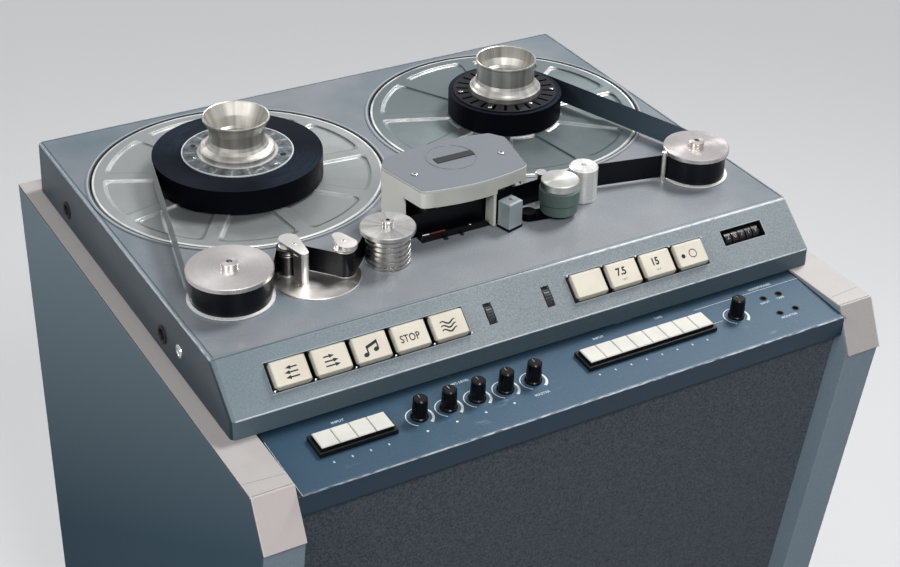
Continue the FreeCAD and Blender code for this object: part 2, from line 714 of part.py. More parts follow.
# Transport chassis: a cast frame with the key panel, and the deck plate let into its rim.
def make_chassis():
    def tapered(name, inset, roof):
        """A box whose walls lean out towards its foot, made lying and turned upright."""
        wedge = doc.addObject("Part::Wedge", name)
        foot_half = chassis_width / 2 + chassis_flare - inset
        head_half = chassis_width / 2 - inset
        values = (
            ("Xmin", -foot_half),
            ("Xmax", foot_half),
            ("X2min", -head_half),
            ("X2max", head_half),
            ("Ymin", as_size(0)),
            ("Ymax", chassis_height - roof),
            ("Zmin", -(chassis_length + chassis_flare - inset)),
            ("Zmax", slope_run - inset),
            ("Z2min", -(chassis_length - inset)),
            ("Z2max", slope_run - inset),
        )
        for prop, value in values:
            bind(wedge, prop, value)
        turn(wedge, (1, 0, 0), 90)
        return place(wedge, 0, break_y, arm_top)

    reach = chassis_width + 200
    outer_trim = on_slope(block("Slope_trim", reach, 200, 100), -reach / 2, 140, 0)
    outer = cut("Chassis_outer", tapered("Chassis_block", as_size(0), as_size(0)), [outer_trim])
    soft = rounded("Chassis_soft", outer, chassis_radius, is_chassis_edge)
    roof = deck_thickness + ledge_thickness
    inner_trim = on_slope(block("Slope_trim_in", reach, 200, 100), -reach / 2, 140, -wall_thickness)
    inner = cut("Chassis_inner", tapered("Chassis_room", wall_thickness, roof), [inner_trim])
    rebate = block(
        "Rebate", chassis_width - 2 * deck_rim, chassis_length - 2 * deck_rim, deck_thickness * 2
    )
    on_deck(rebate, -chassis_width / 2 + deck_rim, deck_rim, -deck_thickness)
    inset = deck_rim + ledge_width
    opening = block("Opening", chassis_width - 2 * inset, chassis_length - 2 * inset, roof * 3)
    on_deck(opening, -chassis_width / 2 + inset, inset, roof * -2)
    shell = cut("Chassis_hollow", soft, [inner, rebate, opening])

    walls = [shell]
    pockets = []
    tray_depth = key_skirt + key_travel_room
    pocket_length = key_length + 2 * key_gap
    for name, middle, count in (("five", left_keys_x, 5), ("four", right_keys_x, 4)):
        inside = key_pitch * count
        outside = inside + 2 * tray_wall
        long_side = pocket_length + 2 * tray_wall
        tray = block(f"Tray_{name}", outside, long_side, tray_depth + tray_wall - 1)
        on_slope(tray, middle - outside / 2, key_row_center + long_side / 2, -(tray_depth + tray_wall))
        walls.append(tray)
        pocket = block(f"Pocket_{name}", inside, pocket_length, tray_depth + 5)
        pockets.append(on_slope(pocket, middle - inside / 2, key_row_center + pocket_length / 2, -tray_depth))
    slot_depth = 2 * wheel_radius + 1
    for name, middle in (("a", slot_a_x), ("b", slot_b_x)):
        outside = slot_width + 2 * tray_wall
        long_side = 2 * wheel_radius + 1 + 2 * tray_wall
        house = block(f"Wheel_house_{name}", outside, long_side, slot_depth + tray_wall - 1)
        walls.append(
            on_slope(house, middle - outside / 2, key_row_center + long_side / 2, -(slot_depth + tray_wall))
        )
        room = block(f"Wheel_room_{name}", slot_width, 2 * wheel_radius + 1, slot_depth - wall_thickness)
        pockets.append(
            on_slope(room, middle - slot_width / 2, key_row_center + wheel_radius + 0.5, -slot_depth)
        )
        slit = block(f"Wheel_slit_{name}", slot_width, slot_length, slot_depth)
        pockets.append(
            on_slope(slit, middle - slot_width / 2, key_row_center + slot_length / 2, wall_thickness * -2)
        )
        bore = rod(f"Wheel_bore_{name}", wheel_axle + shaft_gap, outside + 2)
        pockets.append(wheel_axis(bore, middle - outside / 2 - 1))
    house = block(
        "Counter_house",
        counter_width + 2 * tray_wall,
        counter_length + 2 * tray_wall,
        counter_depth + tray_wall - 1,
    )
    walls.append(
        on_slope(
            house,
            counter_x - counter_width / 2 - tray_wall,
            counter_slope + counter_length / 2 + tray_wall,
            -(counter_depth + tray_wall),
        )
    )
    window = block("Counter_window", counter_width, counter_length, counter_depth + 5)
    pockets.append(
        on_slope(window, counter_x - counter_width / 2, counter_slope + counter_length / 2, -counter_depth)
    )
    for i, (setback, drop, radius) in enumerate(((380, 39, 8), (116, 39, 8), (74, 33, 5))):
        hole = cross_rod(f"Side_hole_{i}", radius, reach, break_y + setback, deck_height - drop)
        pockets.append(hole)
    for name, x in (("left", -reel_x), ("right", reel_x)):
        room = rod(f"Bowl_room_{name}", turntable_radius + well_gap + well_wall + seat_gap, well_depth * 2)
        pockets.append(on_deck(room, x, reel_setback, -deck_thickness - well_depth * 2))
    part("chassis_shell", cut("Chassis_shell", joined("Chassis_walls", walls), pockets))
    part("counter_drums", joined("Counter_drums", counter_drums()))


def is_chassis_edge(middle, along, edge):
    """Every outer edge of the chassis but those of its foot."""
    return middle.z > arm_top.number + 0.5


def chassis_radius(edge):
    """Wide on the upright edges and down the sides of the slope, narrow on the slope's lower edge."""
    along = edge.tangentAt((edge.FirstParameter + edge.LastParameter) / 2)
    height = edge.CenterOfMass.z
    if abs(along.z) > 0.3:
        return corner_round
    if abs(along.x) > 0.9 and abs(height - (deck_height - slope_drop).number) < 1:
        return foot_round
    return top_round


def wheel_axis(obj, x, rim_angle=None):
    """Lays a rod along a thumbwheel's axis, starting at x, or along its rim at an angle."""
    out = -(wheel_radius - wheel_rise)
    y = break_y - key_row_center * cosine(slope_angle) - out * sine(slope_angle)
    z = deck_height - key_row_center * sine(slope_angle) + out * cosine(slope_angle)
    if rim_angle is not None:
        y = y + wheel_radius * cosine(rim_angle)
        z = z + wheel_radius * sine(rim_angle)
    turn(obj, (0, 1, 0), 90)
    return place(obj, x, y, z)


def counter_drums():
    """The number drums on their axle, which ends face to face with the window's sides."""
    count = int(drum_count.number)
    out = -(drum_radius + 0.8)
    y = break_y - counter_slope * cosine(slope_angle) - out * sine(slope_angle)
    z = deck_height - counter_slope * sine(slope_angle) + out * cosine(slope_angle)
    axle = rod("Drum_axle", 2, counter_width)
    turn(axle, (0, 1, 0), 90)
    solids = [place(axle, counter_x - counter_width / 2, y, z)]
    width = (counter_width - 8) / count - drum_gap
    for i in range(count):
        drum = rod(f"Drum_{i}", drum_radius, width)
        turn(drum, (0, 1, 0), 90)
        solids.append(place(drum, counter_x - counter_width / 2 + 4 + (width + drum_gap) * i, y, z))
    return solids


def make_deck():
    edge = deck_rim + deck_gap
    plate = block("Deck_sheet", chassis_width - 2 * edge, chassis_length - 2 * edge, deck_thickness)
    on_deck(plate, -chassis_width / 2 + edge, edge, -deck_thickness)
    solids = [bevelled("Deck_sheet_edge", plate, deck_edge, is_deck_rim)]
    holes = []
    inside = turntable_radius + well_gap
    for name, x in (("left", -reel_x), ("right", reel_x)):
        bowl = rod(f"Bowl_{name}", inside + well_wall, well_depth + well_floor)
        solids.append(on_deck(bowl, x, reel_setback, -(well_depth + well_floor)))
        lip = rod(f"Lip_{name}", inside + lip_width, lip_height + deck_thickness)
        solids.append(on_deck(lip, x, reel_setback, -deck_thickness))
        well = rod(f"Well_{name}", inside, well_depth * 2)
        holes.append(on_deck(well, x, reel_setback, -well_depth))
        bore = rod(f"Shaft_bore_{name}", drive_shaft_radius + shaft_gap, well_depth * 3)
        holes.append(on_deck(bore, x, reel_setback, well_depth * -2))
    spindles = (
        (left_roller_x, roller_setback, roller_shaft),
        (right_roller_x, roller_setback, roller_shaft),
        (grooved_x, grooved_setback, roller_shaft),
        (idler_x, idler_setback, roller_shaft),
        (capstan_x, capstan_setback, capstan_radius),
        (pivot_x, pivot_setback, roller_shaft),
    )
    for i, (x, setback, radius) in enumerate(spindles):
        bore = rod(f"Spindle_bore_{i}", radius + shaft_gap, deck_thickness * 3)
        holes.append(on_deck(bore, x, setback, deck_thickness * -2))
    part("deck_plate", cut("Deck_plate", joined("Deck_solids", solids), holes))


def is_deck_rim(middle, along, edge):
    return abs(middle.z - deck_height.number) < 0.01


# Reels: turntable, hub, tape and clamp of each side.
def sector_tool(name, first):
    """The pressed fields of a turntable from the first one's angle, as one tool about Z with its foot at zero."""
    outer = sector_outer.number
    inner = sector_inner.number
    corner = sector_corner.number
    half_land = spoke_width.number / 2
    pitch = 2 * math.pi / sector_count.number
    solids = []
    # The field's straight sides run parallel to its spokes, half a land away from their middle.
    ring = outer - corner
    corner_angle = pitch / 2 - math.asin((half_land + corner) / ring)
    inner_angle = pitch / 2 - math.asin(half_land / inner)
    side_normal = pitch / 2

    def at(radius, angle):
        return FreeCAD.Vector(radius * math.cos(angle), radius * math.sin(angle), 0)

    centre = at(ring, corner_angle)
    foot = centre + FreeCAD.Vector(-math.sin(side_normal), math.cos(side_normal), 0) * corner
    bend_angle = (corner_angle + side_normal + math.pi / 2) / 2
    bend = centre + FreeCAD.Vector(math.cos(bend_angle), math.sin(bend_angle), 0) * corner
    rim = at(outer, corner_angle)
    start = at(inner, inner_angle)

    def mirrored(point):
        return FreeCAD.Vector(point.x, -point.y, 0)

    edges = [
        Part.Arc(mirrored(rim), at(outer, 0), rim).toShape(),
        Part.Arc(rim, bend, foot).toShape(),
        Part.LineSegment(foot, start).toShape(),
        Part.Arc(start, at(inner, 0), mirrored(start)).toShape(),
        Part.LineSegment(mirrored(start), mirrored(foot)).toShape(),
        Part.Arc(mirrored(foot), mirrored(bend), mirrored(rim)).toShape(),
    ]
    field = Part.Face(Part.Wire(edges)).extrude(FreeCAD.Vector(0, 0, sector_depth.number * 2))
    for i in range(int(sector_count.number)):
        turned = field.copy()
        turned.rotate(FreeCAD.Vector(), FreeCAD.Vector(0, 0, 1), first.number + 360 / sector_count.number * i)
        solids.append(turned)
    tool = doc.addObject("Part::Feature", name)
    tool.Shape = Part.makeCompound(solids)
    return tool


def make_reels():
    under = plate_lift - plate_thickness
    turntable = [
        (0, -drive_shaft_depth),
        (drive_shaft_radius, -drive_shaft_depth),
        (drive_shaft_radius, under),
        (turntable_radius - 6, under),
        (turntable_radius - 6, under - 2.5),
        (turntable_radius, under - 2.5),
        (turntable_radius, plate_lift - 0.8),
        (turntable_radius - 0.8, plate_lift),
        (seat_radius, plate_lift),
        (seat_radius, seat_height),
        (spindle_radius, seat_height),
        (spindle_radius, clamp_floor + 2),
        (0, clamp_floor + 2),
    ]
    hub = [
        (hub_bore, seat_height),
        (hub_radius, seat_height),
        (hub_radius, seat_height + hub_height),
        (hub_bore, seat_height + hub_height),
    ]
    flange_foot = seat_height + hub_height
    clamps = {
        "left": clamp_profile(clamp_flange, clamp_neck, clamp_rim, clamp_height),
        "right": clamp_profile(right_clamp_flange, right_clamp_neck, right_clamp_rim, right_clamp_height),
    }
    sides = (
        ("left", -reel_x, left_sector_turn, full_pack_radius),
        ("right", reel_x, right_sector_turn, small_pack_radius),
    )
    for side, x, first, pack in sides:
        disc = on_deck(lathe(f"Turntable_{side}", turntable), x, reel_setback)
        fields = on_deck(sector_tool(f"Fields_{side}", first), x, reel_setback, plate_lift - sector_depth)
        part(f"turntable_{side}", cut(f"Pressed_{side}", disc, [fields]))
        ring = on_deck(lathe(f"Hub_ring_{side}", hub), x, reel_setback)
        part(f"hub_{side}", cut(f"Hub_{side}", ring, hub_tools(side, x)))
        wound = [
            (hub_radius, tape_lift),
            (pack, tape_lift),
            (pack, tape_top),
            (hub_radius, tape_top),
        ]
        part(f"tape_pack_{side}", on_deck(lathe(f"Pack_{side}", wound), x, reel_setback))
        clamp = lathe(f"Clamp_{side}", clamps[side])
        part(f"reel_clamp_{side}", on_deck(clamp, x, reel_setback))


def clamp_profile(flange, neck, rim, height):
    """A clamp's section: a boss in the hub's bore, a foot flange, a waist, and a flared cup."""
    foot = seat_height + hub_height
    return [
        (spindle_radius, seat_height),
        (hub_bore - seat_gap, seat_height),
        (hub_bore - seat_gap, foot),
        (flange, foot),
        (flange, foot + 5),
        (flange - 1.6, foot + 6.4),
        (neck + 4, foot + 8.6),
        (neck + 1.4, foot + 11.4),
        (neck, foot + 15),
        (neck, height - 14),
        (rim - 1.2, height - 3.6),
        (rim, height - 2.4),
        (rim, height - 0.8),
        (rim - 0.8, height),
        (rim - 1.8, height - 0.6),
        (neck - 2.2, height - 13),
        (neck - 6, clamp_floor + 2),
        (neck - 9, clamp_floor),
        (spindle_radius, clamp_floor),
    ]


def hub_tools(side, x):
    """Round holes for the clear hub, radial slots for the ribbed black one."""
    middle = (hub_radius + hub_bore) / 2
    tools = []
    if side == "left":
        count = int(hub_hole_count.number)
        for i in range(count):
            angle = hub_hole_turn + 360 / count * i
            hole = rod(f"Hub_hole_{i}", hub_hole_radius, hub_height * 2)
            cx = x + middle * cosine(angle)
            tools.append(on_deck(hole, cx, reel_setback + middle * sine(angle), -2))
        return tools
    count = int(hub_rib_count.number)
    length = hub_radius - hub_bore - 6
    for i in range(count):
        angle = as_size(360 / count * i)
        slot = block(f"Hub_slot_{i}", length, hub_slot_width, hub_slot_depth * 2)
        turn(slot, (0, 0, 1), angle)
        start = hub_bore + 3
        cx = x + start * cosine(angle) + hub_slot_width / 2 * sine(angle)
        cy = reel_setback + start * sine(angle) - hub_slot_width / 2 * cosine(angle)
        tools.append(on_deck(slot, cx, cy, seat_height + hub_height - hub_slot_depth))
    return tools


# Rollers, capstan and pinch arm.
def flanged_roller(name, body, flange):
    lower = tape_lift - tape_gap
    upper = tape_top + tape_gap
    return lathe(
        name,
        [
            (0, -roller_shaft_depth),
            (roller_shaft, -roller_shaft_depth),
            (roller_shaft, roller_lift),
            (flange + 0.4, roller_lift),
            (flange + 0.4, lower),
            (body, lower),
            (body, upper),
            (flange - 0.6, upper),
            (flange, upper + 0.6),
            (flange, roller_top - 0.8),
            (flange - 0.8, roller_top),
            (nut_radius, roller_top),
            (nut_radius, roller_top + nut_height - 1),
            (nut_radius - 1, roller_top + nut_height),
            (nut_bore, roller_top + nut_height),
            (nut_bore, roller_top + 1),
            (0, roller_top + 1),
        ],
    )


def make_rollers():
    left = flanged_roller("Roller_left", left_roller_body, left_roller_flange)
    part("tape_roller_left", on_deck(left, left_roller_x, roller_setback))
    right = flanged_roller("Roller_right", right_roller_body, right_roller_flange)
    part("tape_roller_right", on_deck(right, right_roller_x, roller_setback))

    foot = tape_lift - tape_gap
    ribs_top = grooved_top - 4.5
    profile = [
        (0, -roller_shaft_depth),
        (roller_shaft, -roller_shaft_depth),
        (roller_shaft, roller_lift),
        (grooved_radius, roller_lift),
    ]
    count = int(groove_count.number)
    pitch = (ribs_top - foot) / count
    for i in range(count):
        groove_foot = foot + pitch * i + (pitch - groove_width) / 2
        profile += [
            (grooved_radius, groove_foot),
            (grooved_core, groove_foot + 0.5),
            (grooved_core, groove_foot + groove_width - 0.5),
            (grooved_radius, groove_foot + groove_width),
        ]
    small_nut = nut_radius - 2.5
    profile += [
        (grooved_radius, ribs_top),
        (grooved_flange, ribs_top),
        (grooved_flange, grooved_top - 0.8),
        (grooved_flange - 0.8, grooved_top),
        (small_nut, grooved_top),
        (small_nut, grooved_top + nut_height - 1),
        (small_nut - 0.8, grooved_top + nut_height),
        (nut_bore - 0.8, grooved_top + nut_height),
        (nut_bore - 0.8, grooved_top + 1),
        (0, grooved_top + 1),
    ]
    part("grooved_roller", on_deck(lathe("Grooved", profile), grooved_x, grooved_setback))

    idler = [
        (0, -roller_shaft_depth),
        (roller_shaft, -roller_shaft_depth),
        (roller_shaft, roller_lift),
        (idler_radius, roller_lift),
        (idler_radius, idler_top - 2),
        (idler_radius - 2, idler_top),
        (nut_bore, idler_top),
        (nut_bore, idler_top - 5),
        (0, idler_top - 5),
    ]
    part("idler_roller", on_deck(lathe("Idler", idler), idler_x, idler_setback))

    wheel_foot = flywheel_top + flywheel_thickness
    capstan = [
        (0, -(wheel_foot + 24)),
        (capstan_radius - 2, -(wheel_foot + 24)),
        (capstan_radius - 2, -wheel_foot),
        (flywheel_radius, -wheel_foot),
        (flywheel_radius, -flywheel_top),
        (capstan_radius + 6, -flywheel_top),
        (capstan_radius + 6, -flywheel_top + 5),
        (capstan_radius, -flywheel_top + 5),
        (capstan_radius, capstan_top - 0.8),
        (capstan_radius - 0.8, capstan_top),
        (0, capstan_top),
    ]
    part("capstan", on_deck(lathe("Capstan_shaft", capstan), capstan_x, capstan_setback))


def make_pinch():
    floor_z = arm_lift + arm_thickness
    foot = floor_z + seat_gap
    head = tape_top + 5
    tyre = [
        (pinch_axle + shaft_gap, foot),
        (pinch_cap_radius - 1, foot),
        (pinch_cap_radius, foot + 1),
        (pinch_cap_radius, pinch_step - 0.8),
        (pinch_cap_radius - 0.7, pinch_step),
        (pinch_radius, pinch_step + 0.8),
        (pinch_radius, head - 1.5),
        (pinch_radius - 1, head - 0.5),
        (pinch_cap_radius - 1, head),
        (pinch_axle + shaft_gap, head),
    ]
    part("pinch_roller", on_deck(lathe("Pinch_tyre", tyre), pinch_x, pinch_setback))

    cap_foot = head + seat_gap
    end_radius = pinch_radius - 8
    axle = lathe(
        "Pinch_axle",
        [
            (0, arm_lift),
            (end_radius, arm_lift),
            (end_radius, floor_z),
            (pinch_axle, floor_z),
            (pinch_axle, cap_foot),
            (pinch_cap_radius, cap_foot),
            (pinch_cap_radius, pinch_cap_top - 1),
            (pinch_cap_radius - 1, pinch_cap_top),
            (0, pinch_cap_top),
        ],
    )
    boss_radius = roller_shaft + 3
    boss = lathe(
        "Pinch_boss",
        [
            (0, -roller_shaft_depth),
            (roller_shaft, -roller_shaft_depth),
            (roller_shaft, arm_lift),
            (boss_radius, arm_lift),
            (boss_radius, pivot_top),
            (0, pivot_top),
        ],
    )
    link = block("Pinch_link", arm_length, 2 * boss_radius, arm_thickness)
    turn(link, (0, 0, 1), arm_rest_angle)
    shift_x = boss_radius * sine(arm_rest_angle)
    shift_y = boss_radius * cosine(arm_rest_angle)
    solids = [
        on_deck(axle, pinch_x, pinch_setback),
        on_deck(boss, pivot_x, pivot_setback),
        on_deck(link, pivot_x + shift_x, pivot_setback - shift_y, arm_lift),
    ]
    part("pinch_arm", joined("Pinch_arm", solids))


# Fixed guides, the heads and their cover.
def tapered_bar(name, first, wide, second, narrow, height):
    """A bar from a wide round end to a narrow one at two (x, setback) points: two discs and three blocks."""
    dx = second[0] - first[0]
    dy = second[1] - first[1]
    length = root(dx * dx + dy * dy)
    angle = Size(
        math.degrees(math.atan2(dy.number, dx.number)), f"(atan2({dy.text}; {dx.text}) / 1 deg)"
    )
    fall = wide - narrow
    lean = Size(
        math.degrees(math.asin(fall.number / length.number)),
        f"(asin(({fall.text}) / ({length.text})) / 1 deg)",
    )
    flank = root(length * length - fall * fall)
    bar = turn(block(f"{name}_bar", length, 2 * narrow, height), (0, 0, 1), angle)
    left = turn(block(f"{name}_left", flank, narrow, height), (0, 0, 1), angle - lean)
    right = turn(block(f"{name}_right", flank, narrow, height), (0, 0, 1), angle + lean)
    return [
        (rod(f"{name}_end_a", wide, height), first[0], first[1]),
        (rod(f"{name}_end_b", narrow, height), second[0], second[1]),
        (bar, first[0] + narrow * sine(angle), first[1] - narrow * cosine(angle)),
        (left, first[0] - fall * sine(angle - lean), first[1] + fall * cosine(angle - lean)),
        (right, first[0] + wide * sine(angle + lean), first[1] - wide * cosine(angle + lean)),
    ]


def make_guides():
    plate_top = guide_plate_thickness
    cap_foot = post_top - wing_thickness
    disc = [
        (0, 0),
        (guide_plate_radius, 0),
        (guide_plate_radius, plate_top - 0.5),
        (guide_plate_radius - 0.5, plate_top),
        (0, plate_top),
    ]
    solids = [on_deck(lathe("Guide_plate", disc), guide_x, guide_setback)]
    post = [
        (0, plate_top),
        (post_radius + 1.5, plate_top),
        (post_radius + 1.5, tape_lift - 0.2),
        (post_radius, tape_lift - 0.2),
        (post_radius, tape_top + 0.2),
        (post_radius + 1.5, tape_top + 0.2),
        (post_radius + 1.5, tape_top + 1.6),
        (post_radius - 1, tape_top + 1.6),
        (post_radius - 1, cap_foot),
        (0, cap_foot),
    ]
    for name, x, setback in (("a", post_a_x, post_a_setback), ("b", post_b_x, post_b_setback)):
        solids.append(on_deck(lathe(f"Guide_post_{name}", post), x, setback))
    wide = as_size(9.5)
    thin = as_size(4.7)
    wing_a = ((post_a_x + 3.5, post_a_setback + 4), (post_a_x + 5.5, post_a_setback - 25))
    for obj, x, setback in tapered_bar("Wing_a", wing_a[0], wide, wing_a[1], thin, wing_thickness):
        solids.append(on_deck(obj, x, setback, cap_foot))
    shield = ((post_a_x + 4.5, post_a_setback - 18), wing_a[1])
    body = cap_foot - plate_top
    for obj, x, setback in tapered_bar("Shield", shield[0], as_size(6), shield[1], thin - 0.2, body):
        solids.append(on_deck(obj, x, setback, plate_top))
    wing_b = ((post_b_x + 1.5, post_b_setback - 2), (post_b_x, post_b_setback + 14.5))
    for obj, x, setback in tapered_bar("Wing_b", wing_b[0], wide, wing_b[1], thin + 1, wing_thickness):
        solids.append(on_deck(obj, x, setback, cap_foot))
    guides = joined("Guide_block", solids)

    pin = lathe(
        "Guide_pin",
        [(0, 0), (pin_radius, 0), (pin_radius, pin_top - 0.6), (pin_radius - 0.6, pin_top), (0, pin_top)],
    )
    on_deck(pin, pin_x, pin_setback)
    cue_turn = as_size(15)
    foot = turn(block("Cue_foot", 19, 16.8, 3), (0, 0, 1), cue_turn)
    on_deck(foot, 26.6, 70.5)
    cue = turn(block("Cue_block", 18, 15.8, 28), (0, 0, 1), cue_turn)
    on_deck(cue, 26.9, 71.1, 3)
    cue = bevelled("Cue_soft", cue, as_size(1.6), is_cue_top)
    part("tape_guides", group("Tape_guides", [guides, pin, joined("Cue", [foot, cue])]))


def is_cue_top(middle, along, edge):
    return abs(middle.z - deck_height.number - 31) < 0.01


def head_places():
    """(x, setback) of the three heads' curved faces; they stand on a slight curve so that all are wrapped."""
    steps = (as_size(0), middle_head_step, right_head_step)
    return [(head_pitch * (i - 1), head_face_setback + head_radius + steps[i]) for i in range(3)]


def make_heads():
    rear = cover_back - 14
    plate = block("Head_plate", 106, rear - cover_front + 1, 1.4)
    solids = [on_deck(plate, -59, cover_front - 1)]
    riser = block("Head_riser", 106, rear - head_face_setback - 8, 6)
    solids.append(on_deck(riser, -53, head_face_setback + 8))
    for i, (x, setback) in enumerate(head_places()):
        face = rod(f"Head_face_{i}", head_radius, head_top - 1)
        solids.append(on_deck(face, x, setback, 1))
        can = block(f"Head_can_{i}", 2 * head_radius, 26, head_top - 1)
        solids.append(on_deck(can, x - head_radius, setback, 1))
    fence = block("Head_fence", 72, 3, 7)
    solids.append(on_deck(fence, -59, cover_front - 1))
    part("head_block", joined("Head_block", solids))


def cover_outline(inset):
    front = cover_half_front - inset
    back = cover_half_back - inset
    corner = cover_half_front + 1 - inset
    return [
        (-front, cover_front + inset),
        (front, cover_front + inset),
        (back, cover_side_back),
        (corner, cover_back - inset),
        (-corner, cover_back - inset),
        (-back, cover_side_back),
    ]


def cover_slab(name, inset, height):
    bows = {0: cover_front_bow, 3: cover_back_bow}
    return slab(name, "XY_Plane", cover_outline(as_size(inset)), height, bows)


def is_upright(middle, along, edge):
    return abs(along.z) > 0.99


def make_head_cover():
    outer = on_deck(cover_slab("Cover_outer", 0, cover_top), 0, 0)
    soft = rounded("Cover_soft", outer, as_size(6), is_upright)
    inner = on_deck(cover_slab("Cover_inner", cover_wall, cover_top - cover_wall + 5), 0, 0, -5)
    gate_room = block("Cover_gate", 200, 122, cover_lip + 5)
    on_deck(gate_room, -100, 0, -5)
    side_room = block("Cover_side_room", cover_half_front - 8 - 21, 30, cover_lip + 5)
    on_deck(side_room, 21, cover_front - 20, -0.5)
    body = cut("Cover_body", soft, [inner, gate_room, side_room])
    gate = block("Gate", 3, 15, cover_top - 2)
    on_deck(gate, 17.5, cover_front - 6.5, 1.6)
    part("head_cover", joined("Head_cover", [body, gate]))

    plate = on_deck(cover_slab("Plate_outer", 0, cover_plate_thickness), 0, 0, cover_top)
    smooth = rounded("Plate_soft", plate, as_size(6), is_upright)
    edge = bevelled("Plate_edge", smooth, as_size(0.9), is_plate_rim)
    middle = cover_front + 49
    ring = [
        (badge_radius - 1.6, 0),
        (badge_radius, 0),
        (badge_radius - 0.4, 0.6),
        (badge_radius - 1.2, 0.6),
    ]
    badge = on_deck(lathe("Badge_ring", ring), 0, middle, cover_top + cover_plate_thickness)
    solids = [edge, badge]
    for i, x in enumerate((-49, 49)):
        screw = rod(f"Cover_screw_{i}", 3.4, 0.8)
        solids.append(on_deck(screw, x, cover_front + 34, cover_top + cover_plate_thickness))
    part("head_cover_plate", joined("Head_cover_plate", solids))


def is_plate_rim(middle, along, edge):
    top = deck_height.number + cover_top.number + cover_plate_thickness.number
    return abs(middle.z - top) < 0.01


# The tape between the two packs: straight spans and wraps, as one ribbon.
def tape_path():
    """(x, y, radius, turn) of everything the tape passes; turn is +1 counter-clockwise seen from above."""
    half = tape_thickness.number / 2
    lift = tape_gap.number + half
    heads = [(x.number, setback.number, head_radius.number + lift, 1) for x, setback in head_places()]
    return [
        (-reel_x.number, reel_setback.number, full_pack_radius.number + lift, 1),
        (left_roller_x.number, roller_setback.number, left_roller_body.number + lift, 1),
        (post_a_x.number, post_a_setback.number, post_radius.number + lift, -1),
        (post_b_x.number, post_b_setback.number, post_radius.number + lift, 1),
        (grooved_x.number, grooved_setback.number, grooved_radius.number + lift, -1),
        *heads,
        (idler_x.number, idler_setback.number, idler_radius.number + lift, -1),
        (pin_x.number, pin_setback.number, pin_radius.number + lift, -1),
        (right_roller_x.number, roller_setback.number, right_roller_body.number + lift, 1),
        (reel_x.number, reel_setback.number, small_pack_radius.number + lift, 1),
    ]


def span(first, second):
    """The straight stretch between two wraps, as its two contact angles and its direction."""
    dx = second[0] - first[0]
    dy = second[1] - first[1]
    distance = math.hypot(dx, dy)
    heading = math.atan2(dy, dx)
    return heading - math.asin((second[2] * second[3] - first[2] * first[3]) / distance)


def make_tape():
    path = tape_path()
    directions = [span(a, b) for a, b in zip(path, path[1:])]
    half = tape_thickness.number / 2

    def contact(stop, direction, offset):
        """The point where the tape leaves or meets a stop, offset to the left of its way."""
        away = direction - math.pi / 2 * stop[3]
        reach = stop[2] - offset * stop[3]
        return FreeCAD.Vector(stop[0] + reach * math.cos(away), stop[1] + reach * math.sin(away), 0)

    def side(offset):
        edges = []
        for i, direction in enumerate(directions):
            start = contact(path[i], direction, offset)
            end = contact(path[i + 1], direction, offset)
            edges.append(Part.LineSegment(start, end).toShape())
            if i + 1 == len(directions):
                break
            stop = path[i + 1]
            swing = (directions[i + 1] - direction) * stop[3] % (2 * math.pi)
            middle = contact(stop, direction + swing / 2 * stop[3], offset)
            after = contact(stop, directions[i + 1], offset)
            edges.append(Part.Arc(end, middle, after).toShape())
        return edges

    near = side(half)
    far = side(-half)
    ends = []
    for pick in (0, -1):
        stop = path[pick]
        ends.append(
            Part.LineSegment(contact(stop, directions[pick], half), contact(stop, directions[pick], -half)).toShape()
        )
    wire = Part.Wire(Part.__sortEdges__(near + far + ends))
    ribbon = Part.Face(wire).extrude(FreeCAD.Vector(0, 0, tape_width.number))
    run = doc.addObject("Part::Feature", "Tape_ribbon")
    run.Shape = ribbon
    on_deck(run, 0, 0, tape_lift)
    part("tape_run", run)


# Keys of the key panel and the two thumbwheels.
def make_keys():
    names = ("rewind", "forward", "play", "stop", "record")
    groups = (
        (left_keys_x, [f"key_{n}" for n in names]),
        (right_keys_x, ["key_plain", "key_speed_slow", "key_speed_fast", "key_power"]),
    )
    for middle, labels in groups:
        count = len(labels)
        for i, label in enumerate(labels):
            x = middle + key_pitch * (i - (count - 1) / 2)
            part(label, on_slope(key_cap(f"Body_{label}"), x, key_row_center, 0))


def key_cap(name):
    """A transport key about its own middle: an upright skirt, and over it a cap that narrows upwards."""
    body = doc.addObject("PartDesign::Body", name)
    outline = [
        (-key_width / 2, -key_length / 2),
        (key_width / 2, -key_length / 2),
        (key_width / 2, key_length / 2),
        (-key_width / 2, key_length / 2),
    ]
    sketch = sketch_on(body, "XY_Plane", outline)
    skirt = body.newObject("PartDesign::Pad", "Skirt")
    skirt.Profile = sketch
    skirt.Reversed = True
    bind(skirt, "Length", key_skirt)
    cap = body.newObject("PartDesign::Pad", "Cap")
    cap.Profile = sketch
    bind(cap, "Length", key_rise)
    cap.TaperAngle = -key_taper.number
    cap.setExpression("TaperAngle", f"0 - {key_taper.text}")
    corners = round_in_body(body, cap, key_corner, is_key_corner)
    round_in_body(body, corners, key_edge, is_key_rim)
    return body


def round_in_body(body, feature, radius, test):
    """Rounds the edges of a body's feature that pass a test."""
    doc.recompute()
    names = []
    for i, edge in enumerate(feature.Shape.Edges):
        middle = edge.valueAt((edge.FirstParameter + edge.LastParameter) / 2)
        along = edge.tangentAt((edge.FirstParameter + edge.LastParameter) / 2)
        if test(middle, along, edge):
            names.append(f"Edge{i + 1}")
    fillet = body.newObject("PartDesign::Fillet", "Rounding")
    fillet.Base = (feature, names)
    bind(fillet, "Radius", radius)
    return fillet


def is_key_corner(middle, along, edge):
    return abs(along.z) > 0.5 and edge.Curve.TypeId == "Part::GeomLine"


def is_key_rim(middle, along, edge):
    return abs(middle.z - key_rise.number) < 0.01


